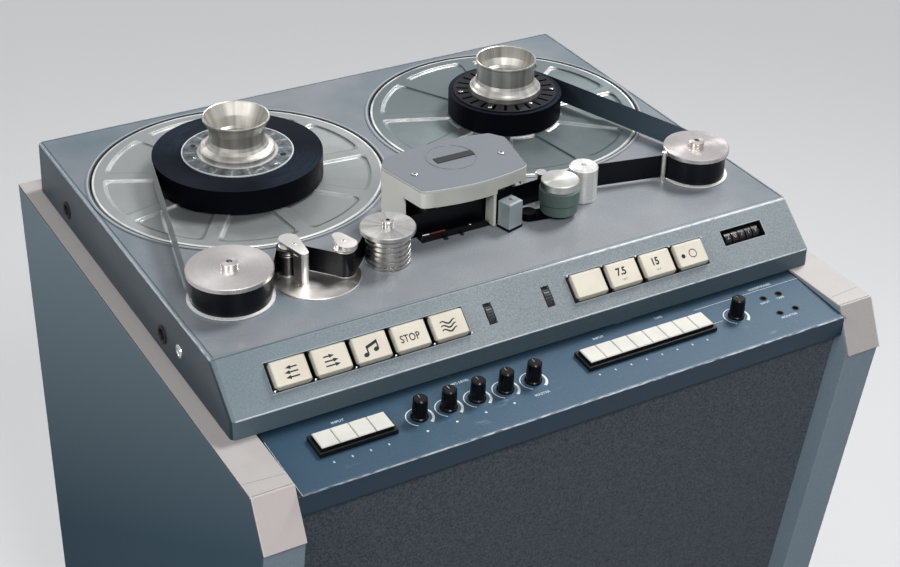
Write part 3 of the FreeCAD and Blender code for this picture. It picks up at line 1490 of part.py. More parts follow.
def make_thumbwheels():
    profile = [
        (0, -tray_wall),
        (wheel_axle, -tray_wall),
        (wheel_axle, 1),
        (wheel_radius - 0.6, 1),
        (wheel_radius, 1.6),
        (wheel_radius, wheel_width + 0.4),
        (wheel_radius - 0.6, wheel_width + 1),
        (wheel_axle, wheel_width + 1),
        (wheel_axle, slot_width + tray_wall),
        (0, slot_width + tray_wall),
    ]
    for name, x in (("thumbwheel_left", slot_a_x), ("thumbwheel_right", slot_b_x)):
        wheel = wheel_axis(lathe(f"Body_{name}", profile), x - slot_width / 2)
        notches = []
        for i in range(int(notch_count.number)):
            angle = as_size(360 / int(notch_count.number) * i)
            notch = rod(f"Notch_{name}_{i}", notch_radius, slot_width)
            notches.append(wheel_axis(notch, x - slot_width / 2, angle))
        part(name, cut(f"Ribbed_{name}", wheel, notches))


# Motors under the deck.
def make_motors():
    top = -(well_depth + well_floor)
    bore = drive_shaft_radius + 0.5
    reel_motor = [
        (bore, top),
        (motor_radius, top),
        (motor_radius, top - motor_length),
        (bore, top - motor_length),
    ]
    solids = []
    for side, x in (("left", -reel_x), ("right", reel_x)):
        solids.append(on_deck(lathe(f"Reel_motor_{side}", reel_motor), x, reel_setback))
    flange_top = -(flywheel_top + flywheel_thickness + 3)
    small_bore = capstan_radius - 2 + 0.5
    motor = [
        (small_bore, flange_top),
        (flywheel_radius + 9, flange_top),
        (flywheel_radius + 9, flange_top - 4),
        (capstan_motor_radius, flange_top - 4),
        (capstan_motor_radius, flange_top - 64),
        (small_bore, flange_top - 64),
    ]
    stack = [on_deck(lathe("Capstan_motor", motor), capstan_x, capstan_setback)]
    for i in range(3):
        angle = as_size(30 + 120 * i)
        post = rod(f"Motor_post_{i}", 3.5, -flange_top - deck_thickness)
        reach = flywheel_radius + 4.5
        cx = capstan_x + reach * cosine(angle)
        stack.append(on_deck(post, cx, capstan_setback + reach * sine(angle), flange_top))
    solids.append(joined("Capstan_drive", stack))
    part("drive_motors", group("Motors", solids))


make_cheeks()
make_speaker()
make_boards()
make_monitor_panel()
make_knobs()
make_small_keys()
make_chassis()
make_deck()
make_reels()
make_rollers()
make_pinch()
make_guides()
make_heads()
make_head_cover()
make_tape()
make_keys()
make_thumbwheels()
make_motors()

doc.recompute()
faults = [o.Label for o in doc.Objects if "Invalid" in o.State or "Error" in o.State]
for name, obj in parts.items():
    if obj.Shape.isNull() or not obj.Shape.isValid() or not obj.Shape.Solids:
        faults.append(name)
if faults:
    raise RuntimeError(f"not built: {faults}")
for name, obj in parts.items():
    obj.Shape.exportStep(f"parts/{name}.step")
print(len(parts), "parts written")
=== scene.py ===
import bpy
import bmesh
import math
from mathutils import Matrix, Vector


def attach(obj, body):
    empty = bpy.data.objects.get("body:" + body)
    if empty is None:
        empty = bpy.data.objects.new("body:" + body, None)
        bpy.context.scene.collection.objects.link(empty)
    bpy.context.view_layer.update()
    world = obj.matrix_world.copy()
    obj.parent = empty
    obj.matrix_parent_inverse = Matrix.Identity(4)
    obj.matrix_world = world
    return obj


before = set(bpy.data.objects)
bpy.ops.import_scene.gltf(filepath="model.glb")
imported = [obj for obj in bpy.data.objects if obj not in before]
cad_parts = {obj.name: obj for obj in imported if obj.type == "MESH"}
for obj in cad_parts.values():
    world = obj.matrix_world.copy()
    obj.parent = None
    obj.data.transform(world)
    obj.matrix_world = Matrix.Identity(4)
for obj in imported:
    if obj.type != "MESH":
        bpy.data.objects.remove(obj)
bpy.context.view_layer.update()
print("stage: frame loaded")

mm = 0.001
deck = {"top": 860, "frontY": -173.5}
keySlope = {"angle": math.atan2(38.4, 43.2)}  # its drop over its run
monitor = {"edgeY": -304.6, "edgeZ": 794.6, "angle": math.radians(3.4)}
reelAxis = {"left": (-159.6, 303), "right": (159.6, 303)}  # x and setback behind the deck's front edge
corners = ((-1, -1), (1, -1), (1, 1), (-1, 1))


def deckFrame(x, setback, height=0, turn=0):  # local X right, Y back, Z up
    place = Vector((x, deck["frontY"] + setback, deck["top"] + height)) * mm
    return Matrix.Translation(place) @ Matrix.Rotation(math.radians(turn), 4, "Z")


def slopeFrame(x, down, out=0):  # local Y runs up the key slope, Z out of it
    c, s = math.cos(keySlope["angle"]), math.sin(keySlope["angle"])
    place = Vector((x, deck["frontY"] - down * c - out * s, deck["top"] - down * s + out * c)) * mm
    return Matrix.Translation(place) @ Matrix.Rotation(keySlope["angle"], 4, "X")


def panelFrame(x, back, out=0):  # local Y runs back on the monitor panel, Z out of it
    c, s = math.cos(monitor["angle"]), math.sin(monitor["angle"])
    place = Vector((x, monitor["edgeY"] + back * c - out * s, monitor["edgeZ"] + back * s + out * c)) * mm
    return Matrix.Translation(place) @ Matrix.Rotation(monitor["angle"], 4, "X")


# The camera stands where the photograph was taken from.
cameraFit = {
    "imageWidth": 900,
    "focalPixels": 1778.93,
    "azimuth": -32.171,
    "elevation": 30.972,
    "roll": 2.288,
    "place": (-779.61, -1388.37, 1740.13),
    "shiftPixels": (60.0, -24.0),
}


def makeCamera(fit):
    azimuth, elevation, roll = (math.radians(fit[k]) for k in ("azimuth", "elevation", "roll"))
    back = Vector((
        math.sin(azimuth) * math.cos(elevation),
        -math.cos(azimuth) * math.cos(elevation),
        math.sin(elevation),
    ))
    right = (-back).cross(Vector((0, 0, 1))).normalized()
    up = right.cross(-back)
    rolledRight = math.cos(roll) * right + math.sin(roll) * up
    rolledUp = -math.sin(roll) * right + math.cos(roll) * up
    data = bpy.data.cameras.new("photoCamera")
    data.sensor_width = 36
    data.lens = fit["focalPixels"] / fit["imageWidth"] * data.sensor_width
    data.shift_x = -fit["shiftPixels"][0] / fit["imageWidth"]
    data.shift_y = fit["shiftPixels"][1] / fit["imageWidth"]
    data.clip_start = 0.01
    data.clip_end = 60
    camera = bpy.data.objects.new("photoCamera", data)
    camera.matrix_world = Matrix((
        (rolledRight.x, rolledUp.x, back.x, fit["place"][0] * mm),
        (rolledRight.y, rolledUp.y, back.y, fit["place"][1] * mm),
        (rolledRight.z, rolledUp.z, back.z, fit["place"][2] * mm),
        (0, 0, 0, 1),
    ))
    bpy.context.collection.objects.link(camera)
    bpy.context.scene.camera = camera


makeCamera(cameraFit)
bpy.context.scene.view_settings.view_transform = "Standard"
print("stage: camera")

# Node materials: the helpers add nodes to the tree that is being made.
making = {}


def tone(*screen):  # screen colour to the linear one that shaders take
    linear = (v / 255 / 12.92 if v <= 10 else ((v / 255 + 0.055) / 1.055) ** 2.4 for v in screen)
    return tuple(linear) + (1,)


def dim(color, share):
    return tuple(c * share for c in color[:3]) + (1,)


def newNode(kind):
    return making["tree"].nodes.new(kind)


def feed(value, socket):  # a link, or a plain value on the socket itself
    if isinstance(value, bpy.types.NodeSocket):
        making["tree"].links.new(value, socket)
    else:
        socket.default_value = value


def setInput(name, value):
    feed(value, making["shader"].inputs[name])


def startMaterial(name, color, roughness, metallic=0.0, coat=0.0):
    material = bpy.data.materials.new(name)
    material.use_nodes = True
    making["tree"] = material.node_tree
    making["shader"] = material.node_tree.nodes["Principled BSDF"]
    setInput("Base Color", color)
    setInput("Roughness", roughness)
    setInput("Metallic", metallic)
    setInput("Coat Weight", coat)
    setInput("Coat Roughness", 0.12)
    setInput("Specular IOR Level", 0.3)
    return material


def calc(operation, *values):
    step = newNode("ShaderNodeMath")
    step.operation = operation
    for value, socket in zip(values + (0.0, 0.0), step.inputs):
        feed(value, socket)
    return step.outputs[0]


def times(first, second):
    return calc("MULTIPLY", first, second)


def plus(first, second):
    return calc("ADD", first, second)


def minus(first, second):
    return calc("SUBTRACT", first, second)


def lengthOf(first, second):
    return calc("SQRT", plus(times(first, first), times(second, second)))


def between(value, low, high, atLow=0.0, atHigh=1.0):  # clamped linear change
    span = newNode("ShaderNodeMapRange")
    given = {"Value": value, "From Min": low, "From Max": high, "To Min": atLow, "To Max": atHigh}
    for name, amount in given.items():
        feed(amount, span.inputs[name])
    return span.outputs[0]


def above(value, limit, softness=0.1 * mm):  # 1 beyond a limit
    return between(value, limit - softness, limit + softness)


def mixTones(amount, first, second):
    mix = newNode("ShaderNodeMix")
    mix.data_type = "RGBA"
    feed(amount, mix.inputs[0])
    feed(first, mix.inputs[6])
    feed(second, mix.inputs[7])
    return mix.outputs[2]


def tint(mask, color):  # lays another colour over the base colour
    base = making["shader"].inputs["Base Color"]
    under = base.links[0].from_socket if base.links else tuple(base.default_value)
    setInput("Base Color", mixTones(mask, under, color))


def partPoint():  # the part's own coordinates, in metres
    return newNode("ShaderNodeTexCoord").outputs["Object"]


def axes(point=None):
    parts = newNode("ShaderNodeSeparateXYZ")
    feed(point or partPoint(), parts.inputs[0])
    return parts.outputs["X"], parts.outputs["Y"], parts.outputs["Z"]


def joined(x, y=0.0, z=0.0):
    parts = newNode("ShaderNodeCombineXYZ")
    for value, socket in zip((x, y, z), parts.inputs):
        feed(value, socket)
    return parts.outputs[0]


def speckle(point, perMetre, detail=2.0, stretch=(1, 1, 1)):
    fit = newNode("ShaderNodeMapping")
    fit.inputs["Scale"].default_value = stretch
    feed(point, fit.inputs["Vector"])
    noise = newNode("ShaderNodeTexNoise")
    noise.inputs["Scale"].default_value = perMetre
    noise.inputs["Detail"].default_value = detail
    feed(fit.outputs[0], noise.inputs["Vector"])
    return noise.outputs["Fac"]


def addBump(height, strength, depth):  # on top of an earlier one
    bump = newNode("ShaderNodeBump")
    bump.inputs["Strength"].default_value = strength
    bump.inputs["Distance"].default_value = depth
    feed(height, bump.inputs["Height"])
    old = making["shader"].inputs["Normal"].links
    if old:
        feed(old[0].from_socket, bump.inputs["Normal"])
    setInput("Normal", bump.outputs[0])


def hammered(name, color, darker, roughness=0.42, grain=700, bump=0.25):  # sprayed paint with a fine grain
    material = startMaterial(name, color, roughness)
    point = partPoint()
    fine = speckle(point, grain, 3)
    wide = speckle(point, 7, 3)
    mottle = plus(times(fine, 0.75), times(wide, 0.25))
    setInput("Base Color", mixTones(between(mottle, 0.36, 0.64), darker, color))
    setInput("Roughness", between(wide, 0.3, 0.7, roughness - 0.05, roughness + 0.07))
    addBump(fine, bump, 0.0004)
    return material


def planeDistance(x, y, place, stretch=1.0):  # how far a point lies from a place, seen from above
    dx = minus(x, place[0] * mm)
    dy = times(minus(y, place[1] * mm), stretch)
    return lengthOf(dx, dy)


def polar(centre):  # distance and direction from an upright axis
    x, y, z = axes()
    dx = minus(x, centre[0] * mm)
    dy = minus(y, (deck["frontY"] + centre[1]) * mm)
    radius = lengthOf(dx, dy)
    return radius, calc("ARCTAN2", dy, dx), z


def turned(name, color, roughness, centre, ringsPerMetre=1500, anisotropic=0.55, bump=0.05,
           fans=None, streaks=0.0):  # metal with rings round an upright axis
    material = startMaterial(name, color, roughness, 1.0)
    setInput("Anisotropic", anisotropic)
    aroundAxis = newNode("ShaderNodeTangent")
    aroundAxis.direction_type = "RADIAL"
    aroundAxis.axis = "Z"
    setInput("Tangent", aroundAxis.outputs[0])
    radius, angle, z = polar(centre)
    rings = speckle(joined(radius, 0.0, z), ringsPerMetre, 2)
    stain = speckle(partPoint(), 60, 3)
    shade = mixTones(between(rings, 0.3, 0.7), dim(color, 0.88), color)
    if fans:  # light and dark sectors, as brushed rings catch a lamp
        first, depth = fans
        wave = calc("COSINE", times(minus(angle, math.radians(first)), 2))
        shade = mixTones(between(wave, -1, 0.9, depth, 0.0), shade, dim(color, 0.3))
    if streaks:  # painted reflection: upright light and dark bands round a side wall
        around = joined(calc("COSINE", angle), calc("SINE", angle))
        shade = mixTones(between(speckle(around, 2.6, 3), 0.36, 0.6, streaks, 0.0), shade, dim(color, 0.25))
    setInput("Base Color", shade)
    setInput("Roughness", between(stain, 0.3, 0.7, roughness - 0.05, roughness + 0.08))
    addBump(rings, bump, 0.00008)
    return material, radius, z


def moulded(name, color, roughness, coat=0.0, grain=900, bump=0.08):
    material = startMaterial(name, color, roughness, 0.0, coat)
    point = partPoint()
    fine = speckle(point, grain, 2)
    wide = speckle(point, 35, 3)
    setInput("Base Color", mixTones(between(wide, 0.3, 0.72), dim(color, 0.86), color))
    setInput("Roughness", between(wide, 0.3, 0.7, roughness - 0.04, roughness + 0.08))
    addBump(fine, bump, 0.0002)
    return material


def dress(names, material):
    for name in names:
        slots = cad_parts[name].material_slots
        for slot in slots:
            slot.material = material


def soften(name, width, steps=2, angle=38):  # small rounded edges on a node
    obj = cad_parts[name]
    weld = obj.modifiers.new("weld", "WELD")
    weld.merge_threshold = 0.00001
    bevel = obj.modifiers.new("edge", "BEVEL")
    bevel.width = width * mm
    bevel.segments = steps
    bevel.limit_method = "ANGLE"
    bevel.angle_limit = math.radians(angle)
    bevel.harden_normals = True
    bevel.use_clamp_overlap = True


# Studio: pale floor, pale sky, one large soft lamp above and to the right, weaker ones round it.
studio = {
    "floorColor": (0.74, 0.75, 0.76, 1),
    "farColor": (0.62, 0.63, 0.65, 1),
    "farRange": (1.3, 3.9),
    "floorReach": 30,
    "bounceColor": (0.12, 0.13, 0.15, 1),
    "skyLow": (0.62, 0.63, 0.65, 1),
    "skyHigh": (0.92, 0.93, 0.95, 1),
    "skyRise": (-0.1, 0.9),
    "fillColor": (0.93, 0.96, 1, 1),
    "fillLight": 0.1,
    "lamps": [
        # name, place, aim, width, power
        ("keyLamp", (1.6, 0.4, 3.0), (0.0, 0.0, 0.86), 0.9, 74),
        ("frontLamp", (-0.4, -2.4, 3.0), (0.0, 0.0, 0.8), 0.9, 50),
        ("backLamp", (-0.9, 2.7, 2.2), (0.0, 0.0, 0.86), 0.7, 20),
        ("leftLamp", (-2.5, -0.9, 2.1), (0.0, 0.0, 0.86), 1.2, 22),
    ],
}


def eyeRays():  # 1 for what is seen straight, in a reflection or through a clear part
    ray = newNode("ShaderNodeLightPath")
    seen = calc("MAXIMUM", ray.outputs["Is Camera Ray"], ray.outputs["Is Glossy Ray"])
    return calc("MAXIMUM", seen, ray.outputs["Is Transmission Ray"])


def makeSky(look):  # pale to the eye, a weak even light for the rest
    world = bpy.data.worlds.new("studioSky")
    bpy.context.scene.world = world
    world.use_nodes = True
    making["tree"] = world.node_tree
    making["tree"].nodes.clear()
    _, _, rise = axes(newNode("ShaderNodeTexCoord").outputs["Generated"])
    seen = newNode("ShaderNodeBackground")
    sky = mixTones(between(rise, *look["skyRise"]), look["skyLow"], look["skyHigh"])
    feed(sky, seen.inputs["Color"])
    soft = newNode("ShaderNodeBackground")
    soft.inputs["Color"].default_value = look["fillColor"]
    soft.inputs["Strength"].default_value = look["fillLight"]
    pick = newNode("ShaderNodeMixShader")
    feed(eyeRays(), pick.inputs[0])
    feed(soft.outputs[0], pick.inputs[1])
    feed(seen.outputs[0], pick.inputs[2])
    feed(pick.outputs[0], newNode("ShaderNodeOutputWorld").inputs["Surface"])


def makeLamps(look):
    for name, place, aim, width, power in look["lamps"]:
        data = bpy.data.lights.new(name, "AREA")
        data.shape = "DISK"
        data.size = width
        data.energy = power
        lamp = bpy.data.objects.new(name, data)
        lamp.location = place
        lamp.rotation_euler = (Vector(aim) - Vector(place)).to_track_quat("-Z", "Y").to_euler()
        bpy.context.collection.objects.link(lamp)


def makeFloor(look):
    mesh = bpy.data.meshes.new("studioFloor")
    reach = look["floorReach"]
    mesh.from_pydata([(sx * reach, sy * reach, 0) for sx, sy in corners], [], [(0, 1, 2, 3)])
    floor = bpy.data.objects.new("studioFloor", mesh)
    floor.location.z = -0.0005
    bpy.context.collection.objects.link(floor)
    material = startMaterial("floorPaper", look["floorColor"], 0.9)
    seen = eyeRays()
    x, y, _ = axes()
    far = between(planeDistance(x, y, (0, 0)), *look["farRange"])
    near = mixTones(seen, look["bounceColor"], look["floorColor"])
    setInput("Base Color", mixTones(far, near, (0, 0, 0, 1)))
    setInput("Emission Color", look["farColor"])  # pale far away, for the eye alone
    setInput("Emission Strength", times(seen, far))
    mesh.materials.append(material)


makeSky(studio)
makeLamps(studio)
makeFloor(studio)
print("stage: studio")


# Places on the panel, on the key slope and along an edge, in the part's own metres.
def panelHeight():  # how far a point lies over the monitor panel
    _, y, z = axes()
    c, s = math.cos(monitor["angle"]), math.sin(monitor["angle"])
    dy = minus(y, monitor["edgeY"] * mm)
    dz = minus(z, monitor["edgeZ"] * mm)
    return minus(times(dz, c), times(dy, s))


def slopePlace():  # across the key slope and down it
    x, y, z = axes()
    c, s = math.cos(keySlope["angle"]), math.sin(keySlope["angle"])
    ahead = minus(deck["frontY"] * mm, y)
    rise = minus(z, deck["top"] * mm)
    return x, minus(times(ahead, c), times(rise, s))


# A mask along an edge line, broken up by noise: used for wear, for painted highlights and for a seam.
def wornEdge(first, second, place, width, breakUp=0.5, along=(0.12, 1, 1)):
    point = partPoint()
    parts = dict(zip("XYZ", axes(point)))
    da = minus(parts[first], place[0] * mm)
    db = minus(parts[second], place[1] * mm)
    away = lengthOf(da, db)
    near = between(away, 0.55 * width * mm, width * mm, 1.0, 0.0)
    nicks = between(speckle(point, 900, 3, along), breakUp - 0.14, breakUp + 0.06)
    return times(near, nicks)


# Soft shoulders of the nine fields pressed into a turntable: distance to the nearest edge, then a bump. Walls
# facing a lamp get a painted highlight, the others painted shade, and the rim a painted highlight.
fieldLook = {
    "count": 9,
    "outer": 136,
    "inner": 62,
    "halfLand": 7.5,
    "corner": 9,
    "bevel": 3,
    "shoulder": 3.2,
    "depth": 1.6,
    "plateTop": 856,
    "rim": 146.4,
    "light": (0.15, -0.95, 0.25),
    "bright": tone(250, 250, 248),
    "dark": tone(62, 70, 74),
    "rimTone": tone(232, 234, 233),
}


def pressedFields(look, centre, first):
    radius, angle, z = polar(centre)
    pitch = 2 * math.pi / look["count"]
    angle = minus(angle, math.radians(first))
    fold = calc("PINGPONG", plus(angle, 4 * math.pi), pitch / 2)
    toSpoke = minus(pitch / 2, fold)
    beside = minus(times(radius, calc("SINE", toSpoke)), look["halfLand"] * mm)
    outside = minus(look["outer"] * mm, radius)
    inside = minus(radius, look["inner"] * mm)
    nearest = calc("SMOOTH_MIN", beside, outside, look["corner"] * mm)
    nearest = calc("SMOOTH_MIN", nearest, inside, look["bevel"] * mm)
    wide = look["shoulder"] * mm
    height = between(nearest, -0.4 * wide, wide, 1.0, 0.0)
    addBump(height, 1.0, look["depth"] * mm)
    onPlate = above(z, look["plateTop"] * mm, 0.2 * mm)
    facing = newNode("ShaderNodeVectorMath")
    facing.operation = "DOT_PRODUCT"
    feed(making["shader"].inputs["Normal"].links[0].from_socket, facing.inputs[0])
    feed(look["light"], facing.inputs[1])
    turn = facing.outputs["Value"]
    worn = between(speckle(partPoint(), 28, 3), 0.3, 0.6, 0.35, 1.0)
    bright = times(times(between(turn, 0.38, 0.7), onPlate), worn)
    tint(bright, look["bright"])
    dark = times(between(turn, 0.1, -0.2, 0.0, 0.55), onPlate)
    tint(dark, look["dark"])
    rim = times(above(radius, look["rim"] * mm, 0.3 * mm), worn)
    tint(rim, look["rimTone"])


# Console: painted cheeks with painted shade on their outer faces, worn trims with painted light and shade on
# the left, cloth and covers.
consoleLook = {
    "outerFace": (336.0, 336.6),
    "fallFrom": (216.5, 800),  # depth and height where the painted shade on the outer cheek face is lightest
    "fallRate": (1.73, 2.65),
    "noseEdge": -295.6,
    "cheek": (tone(150, 168, 180), tone(140, 158, 170)),
    "cheekHigh": tone(160, 177, 186),
    "cheekLow": tone(91, 114, 128),
    "trim": (tone(190, 186, 184), tone(178, 174, 172)),
    "board": (tone(90, 96, 102), tone(80, 86, 92)),
    "cloth": (tone(91, 100, 110), tone(55, 63, 72)),
    "nose": tone(222, 210, 207),
    "leftArm": tone(158, 153, 152),
    "bare": tone(236, 230, 226),
    "joint": tone(34, 38, 42),
    "smudge": tone(172, 167, 164),
}


def dressConsole(look):
    cheek = hammered("cheekPaint", *look["cheek"], roughness=0.56, grain=500, bump=0.12)
    x, y, z = axes()
    # Painted shade on the outer cheek faces: lighter high and at the back, darker low and to the front.
    outside = between(calc("ABSOLUTE", x), *(v * mm for v in look["outerFace"]))
    drop = times(minus(look["fallFrom"][1] * mm, z), look["fallRate"][1])
    ahead = times(minus(look["fallFrom"][0] * mm, y), look["fallRate"][0])
    fall = between(plus(drop, ahead), 0.02, 1.05)
    tint(outside, mixTones(fall, look["cheekHigh"], look["cheekLow"]))
    setInput("Specular IOR Level", between(outside, 0, 1, 0.3, 0.0))
    dress(["cheek_left", "cheek_right", "rear_cover"], cheek)
    trim = hammered("trimPaint", *look["trim"], roughness=0.6, grain=900, bump=0.12)
    smudge = between(speckle(partPoint(), 38, 4), 0.55, 0.78, 0.0, 0.55)
    tint(smudge, look["smudge"])
    x, y, _ = axes()
    side = calc("ABSOLUTE", x)
    edge = look["noseEdge"]
    # Painted light on the left nose face and painted shade on the left armrest top; the right trim keeps its
    # plain tone.
    onNose = between(y, edge * mm, (edge - 0.8) * mm, 0.0, 0.6)
    tint(times(onNose, between(x, 0.05, -0.05)), look["nose"])
    onArm = between(y, edge * mm, (edge + 0.8) * mm, 0.0, 0.5)
    tint(times(onArm, between(x, 0.05, -0.05)), look["leftArm"])
    rim = between(side, 336.2 * mm, 336.5 * mm)
    tint(times(rim, between(y, -0.292, -0.294, 0.0, 0.5)), look["bare"])
    tint(between(side, 337.3 * mm, 337.4 * mm, 0.0, 0.8), look["joint"])
    dress(["armrest_trims"], trim)
    board = hammered("boardPaint", *look["board"], roughness=0.6, grain=300, bump=0.1)
    dress(["base_board"], board)

    cloth = startMaterial("speakerCloth", look["cloth"][0], 0.92)
    point = partPoint()
    thread = speckle(point, 560, 2, (1, 1, 0.8))
    slub = speckle(point, 260, 4, (0.8, 1, 1))
    weave = plus(times(thread, 0.72), times(slub, 0.28))
    amount = between(weave, 0.38, 0.62)
    setInput("Base Color", mixTones(amount, look["cloth"][1], look["cloth"][0]))
    addBump(weave, 0.6, 0.0006)
    setInput("Sheen Weight", 0.15)
    dress(["speaker_panel"], cloth)
    for name, width in (("cheek_left", 1.0), ("cheek_right", 1.0), ("armrest_trims", 0.7)):
        soften(name, width)


# Transport: hammered grey paint on chassis and deck, smooth blue on the monitor panel.
paintLook = {
    "deck": (tone(142, 148, 152), tone(112, 121, 127)),
    "deckFar": tone(74, 94, 104),
    "haze": tone(154, 150, 154),
    "ring": tone(190, 198, 200),
    "chassis": (tone(147, 154, 158), tone(114, 126, 132)),
    "side": tone(8, 42, 54),
    "front": tone(42, 64, 76),
    "panel": (tone(58, 85, 105), tone(50, 76, 95)),
    "panelLeft": tone(24, 54, 74),
    "lip": tone(28, 52, 70),
    "slopeLeft": tone(98, 116, 126),
    "seam": tone(52, 60, 64),
    "shadow": tone(10, 22, 36),
    "bare": tone(222, 228, 232),
    "base": tone(7, 7, 9),
    "joint": tone(22, 26, 29),
    "scuff": tone(126, 146, 160),
    "deckLight": (70, -150),
}


def dressTransport(look):
    deckPaint = hammered("deckPaint", *look["deck"], roughness=0.27, bump=0.2)
    x, y, _ = axes()
    setInput("Specular IOR Level", 0.42)
    # Painted light and shade: the deck is lightest round deckLight and painted darker further from it.
    away = planeDistance(x, y, look["deckLight"], 1.1)
    cloud = between(speckle(partPoint(), 9, 3), 0.25, 0.75, -0.16, 0.16)
    tint(between(plus(away, cloud), 0.12, 0.5, 0.0, 0.92), look["deckFar"])
    haze = between(speckle(partPoint(), 13, 3), 0.22, 0.8, 0.0, 0.5)
    tint(haze, look["haze"])
    for centre in reelAxis.values():
        radius, _, _ = polar(centre)
        # Painted highlight on each well's lip and painted shade in the gap round the turntable.
        tint(between(radius, 153.8 * mm, 153.0 * mm, 0.0, 0.5), look["ring"])
        tint(between(radius, 152.0 * mm, 151.7 * mm, 0.0, 0.9), look["joint"])
    dress(["deck_plate"], deckPaint)

    chassis = hammered("chassisPaint", *look["chassis"], roughness=0.36, bump=0.26)
    x, y, z = axes()
    # Painted shade on the fascia under the key slope.
    below = between(z, 821.7 * mm, 820.4 * mm)
    frontSide = between(y, -213 * mm, -215.4 * mm)
    shade = times(times(below, frontSide), 0.8)
    tint(shade, look["front"])
    # Painted shade: the left part of the chassis is darker.
    tint(between(x, -0.08, -0.32, 0.0, 0.6), look["slopeLeft"])
    # Painted shade on the chassis' left side wall below the deck.
    wall = between(x, -317.6 * mm, -318.2 * mm)
    wall = times(wall, between(z, 858.4 * mm, 857.4 * mm))
    tint(times(wall, 0.9), look["side"])
    foot = wornEdge("Y", "Z", (-216.7, 821.6), 1.0, 0.42)
    tint(times(foot, 0.8), look["bare"])
    # Painted highlight along the right half of the deck's front edge, broken up like wear.
    breakLine = wornEdge("Y", "Z", (deck["frontY"], 859.2), 1.5, 0.45)
    breakLine = times(breakLine, above(x, 0.02, 0.06))
    tint(times(breakLine, 0.7), look["bare"])
    seam = wornEdge("Y", "Z", (-172.4, 860), 1.3, 0.36)
    seam = times(seam, between(x, 0.06, 0.0))
    tint(times(seam, 0.7), look["seam"])
    # Painted highlight along the chassis' left rim, strongest towards the front.
    sideLine = wornEdge("X", "Z", (-318.5, 859.4), 1.6, 0.45, (1, 0.12, 1))
    sideFall = between(y, 0.25, -0.05, 0.2, 0.85)
    tint(times(sideLine, sideFall), look["bare"])
    dress(["chassis_shell"], chassis)

    panel = hammered("panelPaint", *look["panel"], roughness=0.4, grain=500, bump=0.08)
    edge = wornEdge("Y", "Z", (monitor["edgeY"] + 0.5, monitor["edgeZ"] - 0.5), 1.1, 0.5)
    tint(times(edge, 0.85), look["bare"])
    scuff = between(speckle(partPoint(), 120, 6, (0.35, 1, 1)), 0.66, 0.74, 0.0, 0.35)
    tint(scuff, look["scuff"])
    x, y, _ = axes()
    # Painted shade: the left part of the panel is darker.
    tint(between(x, -0.1, -0.3, 0.0, 0.6), look["panelLeft"])
    under = between(y, (monitor["edgeY"] + 70) * mm, (monitor["edgeY"] + 92) * mm, 0.0, 0.7)
    tint(under, look["shadow"])
    # Painted shade on the panel's front lip.
    tint(between(panelHeight(), -1.4 * mm, -1.9 * mm, 0.0, 0.9), look["lip"])
    tint(above(panelHeight(), 0.2 * mm, 0.05 * mm), look["base"])
    dress(["monitor_panel"], panel)


# Metal parts that were turned on a lathe, each about its own axis.
turnedLook = {  # node: axis, colour, roughness, and what it has besides
    "turntable_left": (reelAxis["left"], tone(152, 156, 156), 0.42, {"metallic": 0.55, "fields": 15}),
    # The right turntable's darker tone is painted shade.
    "turntable_right": (reelAxis["right"], tone(112, 122, 124), 0.42, {"metallic": 0.55, "fields": 18.5}),
    "reel_clamp_left": (reelAxis["left"], tone(188, 185, 178), 0.4, {"metallic": 0.75, "streaks": 0.55}),
    "reel_clamp_right": (reelAxis["right"], tone(192, 190, 184), 0.4, {"metallic": 0.75, "streaks": 0.6}),
    "tape_roller_left": ((-261, 88), tone(216, 211, 208), 0.27, {"fans": (215, 0.3)}),
    "tape_roller_right": ((264, 88), tone(210, 204, 201), 0.27, {"fans": (60, 0.2)}),
    "grooved_roller": ((-103, 80), tone(206, 204, 200), 0.28, {"streaks": 0.35}),
    "idler_roller": ((130, 98), tone(246, 245, 242), 0.3, {"metallic": 0.5, "streaks": 0.3}),
    "capstan": ((92, 118), tone(220, 220, 220), 0.2, {}),
    "tape_guides": ((-176, 84), tone(230, 226, 221), 0.32, {}),
    "pinch_arm": ((90, 93.5), tone(216, 215, 210), 0.34, {"fans": (120, 0.15)}),
}
guideLook = {
    "cueFoot": tone(20, 20, 22),
    "post": (-197, 103),
    "postRadius": 10.8,
    "postHeights": (861.9, 881, 890.2),  # its foot, where the ribs start, and its top
    "ribPitch": 2.6,
    "postTone": tone(12, 13, 17),
    "cueBlock": tone(186, 196, 200),
}
metalLook = {
    "rollerFoot": tone(240, 241, 240),
    "armFoot": tone(20, 22, 25),
    "iron": tone(60, 62, 66),
    "head": tone(110, 110, 114),
    "headFoot": tone(8, 8, 10),
}


def tintGuides(look, z):  # dark foot; the ribbed post darkened as a painted dark reflection, its ribs left bright; the cue block's own tone
    across, _, _ = axes()
    cueFoot = times(above(across, 0), between(z, 863.1 * mm, 862.9 * mm))
    cueFoot = times(cueFoot, between(across, 0.1, 0.101, 1.0, 0.0))
    tint(cueFoot, look["cueFoot"])
    post, _, _ = polar(look["post"])
    foot, ribStart, top = look["postHeights"]
    onPost = between(post, look["postRadius"] * mm, (look["postRadius"] - 0.1) * mm)
    low = times(above(z, foot * mm), between(z, top * mm, (top - 0.3) * mm))
    ribs = calc("SINE", times(z, 2 * math.pi / (look["ribPitch"] * mm)))
    ribs = times(between(ribs, 0.2, 0.5), above(z, ribStart * mm))
    dark = times(times(onPost, low), minus(0.93, ribs))
    tint(calc("MAXIMUM", dark, 0.0), look["postTone"])
    block = times(above(across, 15 * mm), between(across, 60 * mm, 59 * mm))
    block = times(block, above(z, 863.1 * mm))
    tint(block, look["cueBlock"])
    setInput("Metallic", between(block, 0, 1, 1.0, 0.7))


